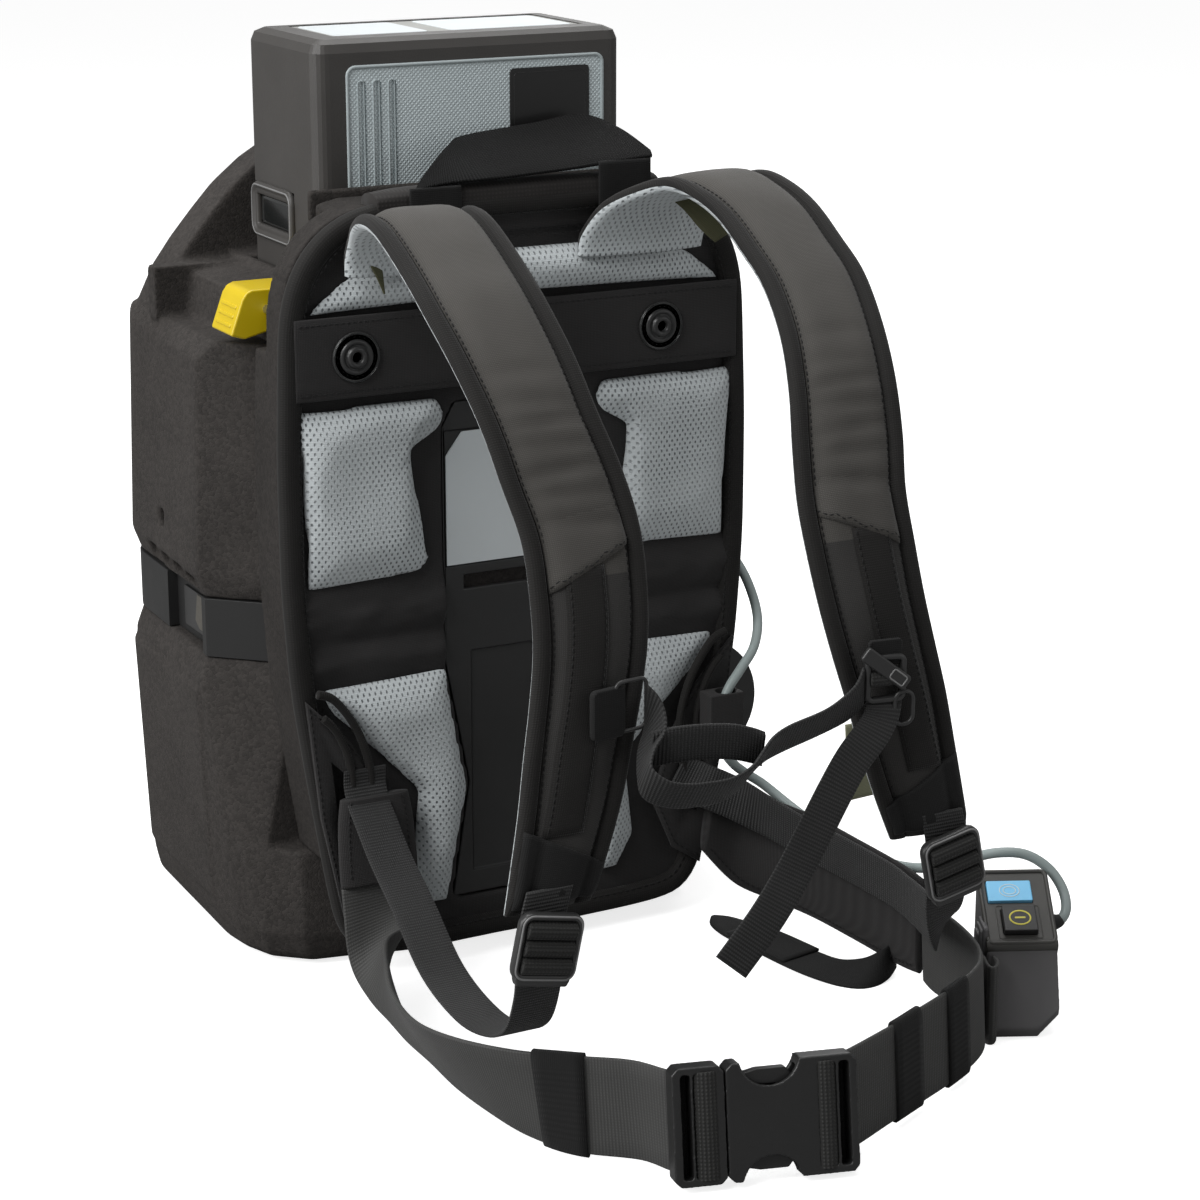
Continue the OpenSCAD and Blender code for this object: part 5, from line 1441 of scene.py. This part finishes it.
# share of the corner patch's outline and its height on each side, from the edge to the middle
WING_LAYERS = ((1.0, 0.0), (1.0, 0.0012), (0.985, 0.0018), (0.9, 0.0022), (0.5, 0.0026))


def wings():
    for name, line in (("right", WING_RIGHT), ("left", WING_LEFT)):
        band = Band(line, 8)
        band.sweep(f"wing_{name}", cushion_section(band, 0.008), "panel", fill=0.5,
                   replaces="belt_wings" if name == "right" else None)
        stitches(f"wing_{name}_stitches", [
            [band.point(i, side * (band.widths[i] / 2 - 0.005), face * 0.0038)
             for i in range(2, len(band.places) - 2)] for side in (-1, 1) for face in (-1, 1)])
    for side, name in ((1, "right"), (-1, "left")):
        for number, arc in enumerate(WING_PIPING):
            tube_along(f"wing_piping_{name}_{number}", [at(side * x, -5.8, z) for x, z in arc],
                       0.0024, "edge", steps=6)
        outline = [at(side * x, -3.2, z) for x, z in WING_CORNER]
        middle = sum(outline, Vector()) / len(outline)

        def ring(share, y):
            return [middle + (p - middle) * share + Vector((0, y, 0)) for p in outline]
        rings = [ring(share, depth * -0.8) for share, depth in WING_LAYERS]
        rings += [ring(share, depth * 0.8) for share, depth in WING_LAYERS[::-1]]
        loft(f"wing_corner_{name}", rings, "panel", closed=True, flip=side < 0)
        seam = ring(0.94, -0.0019)
        stitches(f"wing_corner_{name}_stitches", [seam + seam[:1]], 0.004, 0.0026)


# ---- Chest strap ----

CHEST_WIDTH = 20
CHEST_THICK = 0.0018
CHEST_FRONT = [
    (-57.2, -244.3, 227, 0, 0, 1), (-55, -247.5, 219, 0.4, -0.2, 0.85),
    (-58, -253, 210, 0.5, -0.5, 0.7), (-64, -258.5, 201, 0.2, -0.5, 0.9),
    (-66, -263, 194, 0, -0.5, 0.9), (-60, -266, 188.5, 0, -0.6, 0.8),
    (-50, -267.5, 185.5, 0, -0.6, 0.8), (-39, -268, 184.5, 0, -0.6, 0.8),
    (-25, -267.5, 184.5, 0, -0.6, 0.8), (-13, -264.5, 187.5, 0.1, -0.6, 0.8),
    (-4, -260.5, 193, 0.2, -0.5, 0.85), (4, -258, 197.5, 0.1, -0.5, 0.85),
    (15, -256, 200.5, 0, -0.5, 0.85), (38, -253, 204.5, 0, -0.5, 0.85),
    (56, -250, 210.5, 0, -0.3, 1), (64.1, -247.6, 217, 0, 0, 1)]
CHEST_BACK = [
    (-59.5, -254.8, 206, 0, -0.15, 1), (-50, -257.5, 207.5, 0, -0.1, 1),
    (-35, -258.5, 207, 0, -0.1, 1), (-18, -258.5, 204.5, 0, -0.1, 1),
    (-6, -257.8, 200.5, 0, -0.1, 1), (1, -257.6, 197.2, 0, -0.2, 1)]
CHEST_TAIL = [
    (76, -248.5, 207.9, 1, -0.14, 0), (72.5, -252, 202, 1, -0.15, -0.3),
    (64, -256.5, 195, 0.8, -0.2, -0.55), (52, -258.5, 184, 0.75, -0.2, -0.65),
    (41.5, -259.5, 169.5, 0.85, -0.2, -0.5), (29.5, -260, 150, 0.85, -0.2, -0.5),
    (16, -260, 128, 0.85, -0.2, -0.5), (2, -260, 109, 0.8, -0.2, -0.6),
    (-17, -260, 88, 0.75, -0.2, -0.65)]


def upright_at(place, degrees):
    """An upright plane that faces the front, turned by some degrees about its middle."""
    turn = math.radians(degrees)
    return Plane(at(*place), (math.cos(turn), math.sin(turn), 0))


def chest():
    """The strap between the shoulder straps, hooked back on itself in a loop, with a loose tail."""
    for name, line, width in (("front", CHEST_FRONT, CHEST_WIDTH),
                              ("back", CHEST_BACK, CHEST_WIDTH - 2),
                              ("tail", CHEST_TAIL, CHEST_WIDTH)):
        webbing(f"chest_{name}", [[*s, width] for s in line], CHEST_THICK, steps=8,
                replaces="chest_strap" if name == "front" else None)
    # sewn top edge of the loop's back
    hem = [at(x, y - 0.6, z + 8.6) for x, y, z, *_ in CHEST_BACK]
    tube_along("chest_back_hem", hem, 0.0011, "webbing", steps=6)
    # left: a sewn tab and a thin wire ring
    left = upright_at((-71, -245.2, 227), 8)
    plate("chest_tab", left.moved(-7.5, -2), rounded(9.5, 12.5, 3),
          [(0.4, -1.5), (0, -0.6), (0, 1.4), (0.8, 2.2)], "keeper")
    rim("chest_ring", left.moved(5.5, 0, 1.2), rounded(9.2, 12.4, 4), wire(1.0), "hardware",
        replaces="chest_hardware")
    # right: a small slider with its hook, and an oval ring below it
    right = upright_at((76, -249, 220), -8)
    rim("chest_slider", right, rounded(9.6, 11, 3),
        [(-1.5, -2), (-1.6, 1.2), (-0.8, 2.1), (0.8, 2.1), (1.5, 1.2), (1.5, -2)], "hardware")
    bar_roll("chest_slider_roll", Plane(right.point(0, 0.5, 0.5), right.up, -right.right),
             17, 4.2, 3.4)
    slant = math.radians(-38)
    hook = Plane(right.point(-1, 6, 3.4),
                 right.right * math.cos(slant) + right.up * math.sin(slant),
                 right.up * math.cos(slant) - right.right * math.sin(slant))
    plate("chest_hook", hook, rounded(15, 4, 2), [(0, -1.4), (0, 0.4), (0.8, 1.2)], "hardware")
    # the light rim on the hook's edge is a painted highlight
    rim("chest_hook_edge", hook.moved(8, 0, 1.0), rounded(4.5, 2.6, 1.2), wire(0.45), "worn")
    rim("chest_oval_ring", right.moved(10, -16, 1.5), rounded(5, 8.6, 4.6), wire(1.1), "hardware")
    plate("chest_slider_tab", right.moved(0, 13.5, -1), rounded(9, 6.5, 2),
          [(0.4, -1.2), (0, -0.4), (0, 1.0), (0.6, 1.5)], "keeper")


# ---- Control unit ----

UNIT_AT = (189.5, -212, 0)
UNIT_TURN = math.radians(-25)
UNIT_SLOPE = math.atan2(26, 40)
UNIT_RIGHT = Vector((math.cos(UNIT_TURN), math.sin(UNIT_TURN), 0))
UNIT_BACK = Vector((-math.sin(UNIT_TURN), math.cos(UNIT_TURN), 0))
UNIT_LEAN = 1.15  # mm that the foot rises for each mm outwards
UNIT_INNER_HALF = 17.5  # mm from the middle to the case's inner walls
UNIT_SHOULDER = 45  # height in mm where the lean of the foot ends
UNIT_THICKER = 0.003  # metres that the inner walls of the front move back


def unit_top():
    """The sloping top of the control unit, from the middle of its front edge."""
    middle = at(*UNIT_AT) + UNIT_BACK * -0.019 + Vector((0, 0, 0.050))
    up = UNIT_BACK * math.cos(UNIT_SLOPE) + Vector((0, 0, math.sin(UNIT_SLOPE)))
    return Plane(middle, UNIT_RIGHT, up)


def unit_case():
    """The case, with its thin front thickened inside and its outer end bevelled off the floor."""
    made = copy_of("unit_case", "control_case", "unit")
    middle = at(*UNIT_AT)
    for vertex in made.data.vertices:
        way = (vertex.co - middle) * 1000
        inside = abs(way.dot(UNIT_RIGHT)) < UNIT_INNER_HALF and way.dot(UNIT_BACK) < -10
        if inside and vertex.co.z > 0.04:
            vertex.co += UNIT_BACK * UNIT_THICKER
    remesh(made, MOULDING_VOXEL, 3)
    for vertex in made.data.vertices:
        lift = max(0.0, (vertex.co - middle).dot(UNIT_RIGHT) * 1000 - 8) * UNIT_LEAN
        height = vertex.co.z * 1000
        if height < UNIT_SHOULDER:
            vertex.co.z += lift * (1 - height / UNIT_SHOULDER) / 1000


def control_unit():
    """The case with its framed cover, plain marks on the two keys, and the clip on its flank."""
    unit_case()
    top = unit_top()
    rim("unit_cover_edge", top.moved(0, 23.9), rounded(18.3, 23.2, 3),
        [(-1.4, -0.4), (-1.0, 0.8), (0.1, 1.1), (1.0, 0.5), (1.1, -1.2)], "unit_top")
    prism("unit_cover_lip", Plane(top.middle, top.up, top.out),
          [(-2.6, -7), (-2.4, -2.2), (-1.4, -0.4), (1.2, 0.9), (2.6, 0.4), (2.6, -7)],
          -19.3, 19.3, "unit_top", 0.7)
    rim("unit_key_frame", top.moved(0, 13.9), rounded(11.6, 10.4, 1),
        [(-0.4, -0.3), (0, 0.5), (0.5, -0.3)], "unit_top")
    rim("power_mark", top.moved(0, 14.2, 4), ellipse(5.6, 4.4),
        [(-0.5, -0.2), (-0.4, 0.2), (0.4, 0.2), (0.5, -0.2)], "mark", body="power_key")
    plate("power_mark_bar", top.moved(0, 14.2, 4), rounded(2.9, 0.5, 0.4),
          [(0, -0.2), (0, 0.2)], "mark", body="power_key")
    for number, (a, b) in enumerate(((5.4, 4.0), (3.4, 2.4))):
        rim(f"eco_mark_{number}", top.moved(-3, 33.5, 1.6), ellipse(a, b),
            [(-0.3, -0.2), (-0.25, 0.15), (0.25, 0.15), (0.3, -0.2)], "pale_mark", body="eco_key")
    flank = Plane(top.point(-19, 12, -4) + Vector((0, 0, -0.004)), -UNIT_BACK)
    for number, (half, low, high) in enumerate(((9, -1, 1.6), (7, 1, 3.0), (4.5, 2.6, 4.4))):
        plate(f"unit_clip_{number}", flank, rounded(half, half, 2),
              [(0, low), (0, high - 0.4), (0.5, high)], "unit")


# ---- Loose ends ----

# name: thickness in metres, look, stations
LOOSE_ENDS = {
    "belt_tail": (0.002, "keeper", [
        [166, -131, 11, 0.1, 0.25, 1, 18], [154, -139, 9, 0.2, 0.35, 0.9, 19],
        [141, -136, 5.5, 0.6, 0.6, 0.5, 22], [131, -118, 3.2, 1, 0.3, 0.15, 25],
        [126, -96, 2.2, 1, 0.1, 0.05, 26], [122, -70, 2, 1, 0.1, 0, 27],
        [117, -44, 2, 1, 0.15, 0, 25], [114, -27, 2.2, 1, 0.2, 0, 17],
        [113, -19, 2.4, 1, 0.2, 0, 4]]),
    "belt_tail_fold": (0.002, "keeper", [
        [126, -96, 4.2, 1, 0.1, 0.05, 26], [122, -70, 4, 1, 0.1, 0, 27],
        [117, -46, 4, 1, 0.15, 0, 25]]),
    "belt_fold": (0.002, "belt", [
        [167, -223, 24, 0, 0, 1, 40], [164.5, -230, 23.5, 0, 0, 1, 43],
        [160.5, -236, 23, 0, 0, 1, 45], [157.5, -237.5, 22.5, 0, 0, 1, 45],
        [156, -235.5, 22.5, 0, 0, 1, 45], [157, -231, 23, 0, 0, 1, 45],
        [160, -224, 24, 0, 0, 1, 43], [163, -214, 24, 0, 0, 1, 40]]),
    "tag_right": (0.0009, "tag", [
        [80, -31, 431, 0.9, -0.3, 0.3, 12], [87, -38, 425, 0.9, -0.3, 0.3, 15],
        [94, -42, 416, 0.9, -0.2, 0.4, 15], [101, -43, 408, 0.9, -0.1, 0.5, 12]]),
    "tag_left": (0.0009, "tag", [
        [-90, -9.5, 413, 1, 0, 0, 9], [-90, -11, 405, 1, 0.2, 0.1, 8],
        [-88.5, -13, 397, 0.9, 0.4, 0, 5], [-86.5, -14, 388, 0.8, 0.5, 0, 1]]),
    "tag_low": (0.0009, "pale_tag", [
        [78, -226, 190, 1, 0, 0, 20], [80, -225, 170, 1, 0.1, 0, 21],
        [81, -225, 149, 1, 0.1, 0, 20]]),
}


def loose_ends():
    """The belt's spare end on the floor, and the small sewn tags."""
    for name, (thick, look, line) in LOOSE_ENDS.items():
        webbing(name, line, thick, look)


# ---- Soft parts inside ----

PLEATS = 72
FILTER_RINGS = ((30.5, 26.5), (44.5, 26.5), (44.5, 1.0), (30.5, 1.0))  # radius, height in mm


def inner_parts():
    """The dust bag, the pleated filter and the foam filter, which show when the lid is open."""
    bag = remesh(copy_of("dust_sack", "dust_bag", "fleece", fill=0.3), BAG_VOXEL, 6)
    middle = sum((v.co for v in bag.data.vertices), Vector()) / len(bag.data.vertices)
    for vertex in bag.data.vertices:
        crease = noise.noise(vertex.co * 26) * 0.0026 + abs(noise.noise(vertex.co * 60)) * 0.0022
        vertex.co += (middle - vertex.co).normalized() * (0.0032 + crease)
    rings = []
    for radius, height in FILTER_RINGS:
        ring = [(c, s, radius + (0.9 if k % 2 else -0.9))
                for k, (c, s) in enumerate(turns(2 * PLEATS))]
        rings.append([at(r * c, 142 + r * s, 176 + height) for c, s, r in ring])
    facing_out(loft("pleated_filter", rings, "fleece", closed=True, flip=True, smooth=False,
                    replaces="pre_motor_filter"))
    foam = remesh(copy_of("foam_filter", "exhaust_filter", "dark_foam"), COARSE_VOXEL, 2)
    for vertex in foam.data.vertices:
        vertex.co += noise.noise_vector(vertex.co * 300) * 0.0006


# ---- All together ----

studio()
floor()
finish_cad_nodes()
for make in (foam_pieces, binding, mesh_cushions, dark_panel, upper_band, latch_grip,
             nameplate_trim, battery_trim, straps, adjusters, handle, belt, buckle, wings, chest,
             control_unit, loose_ends, inner_parts):
    make()
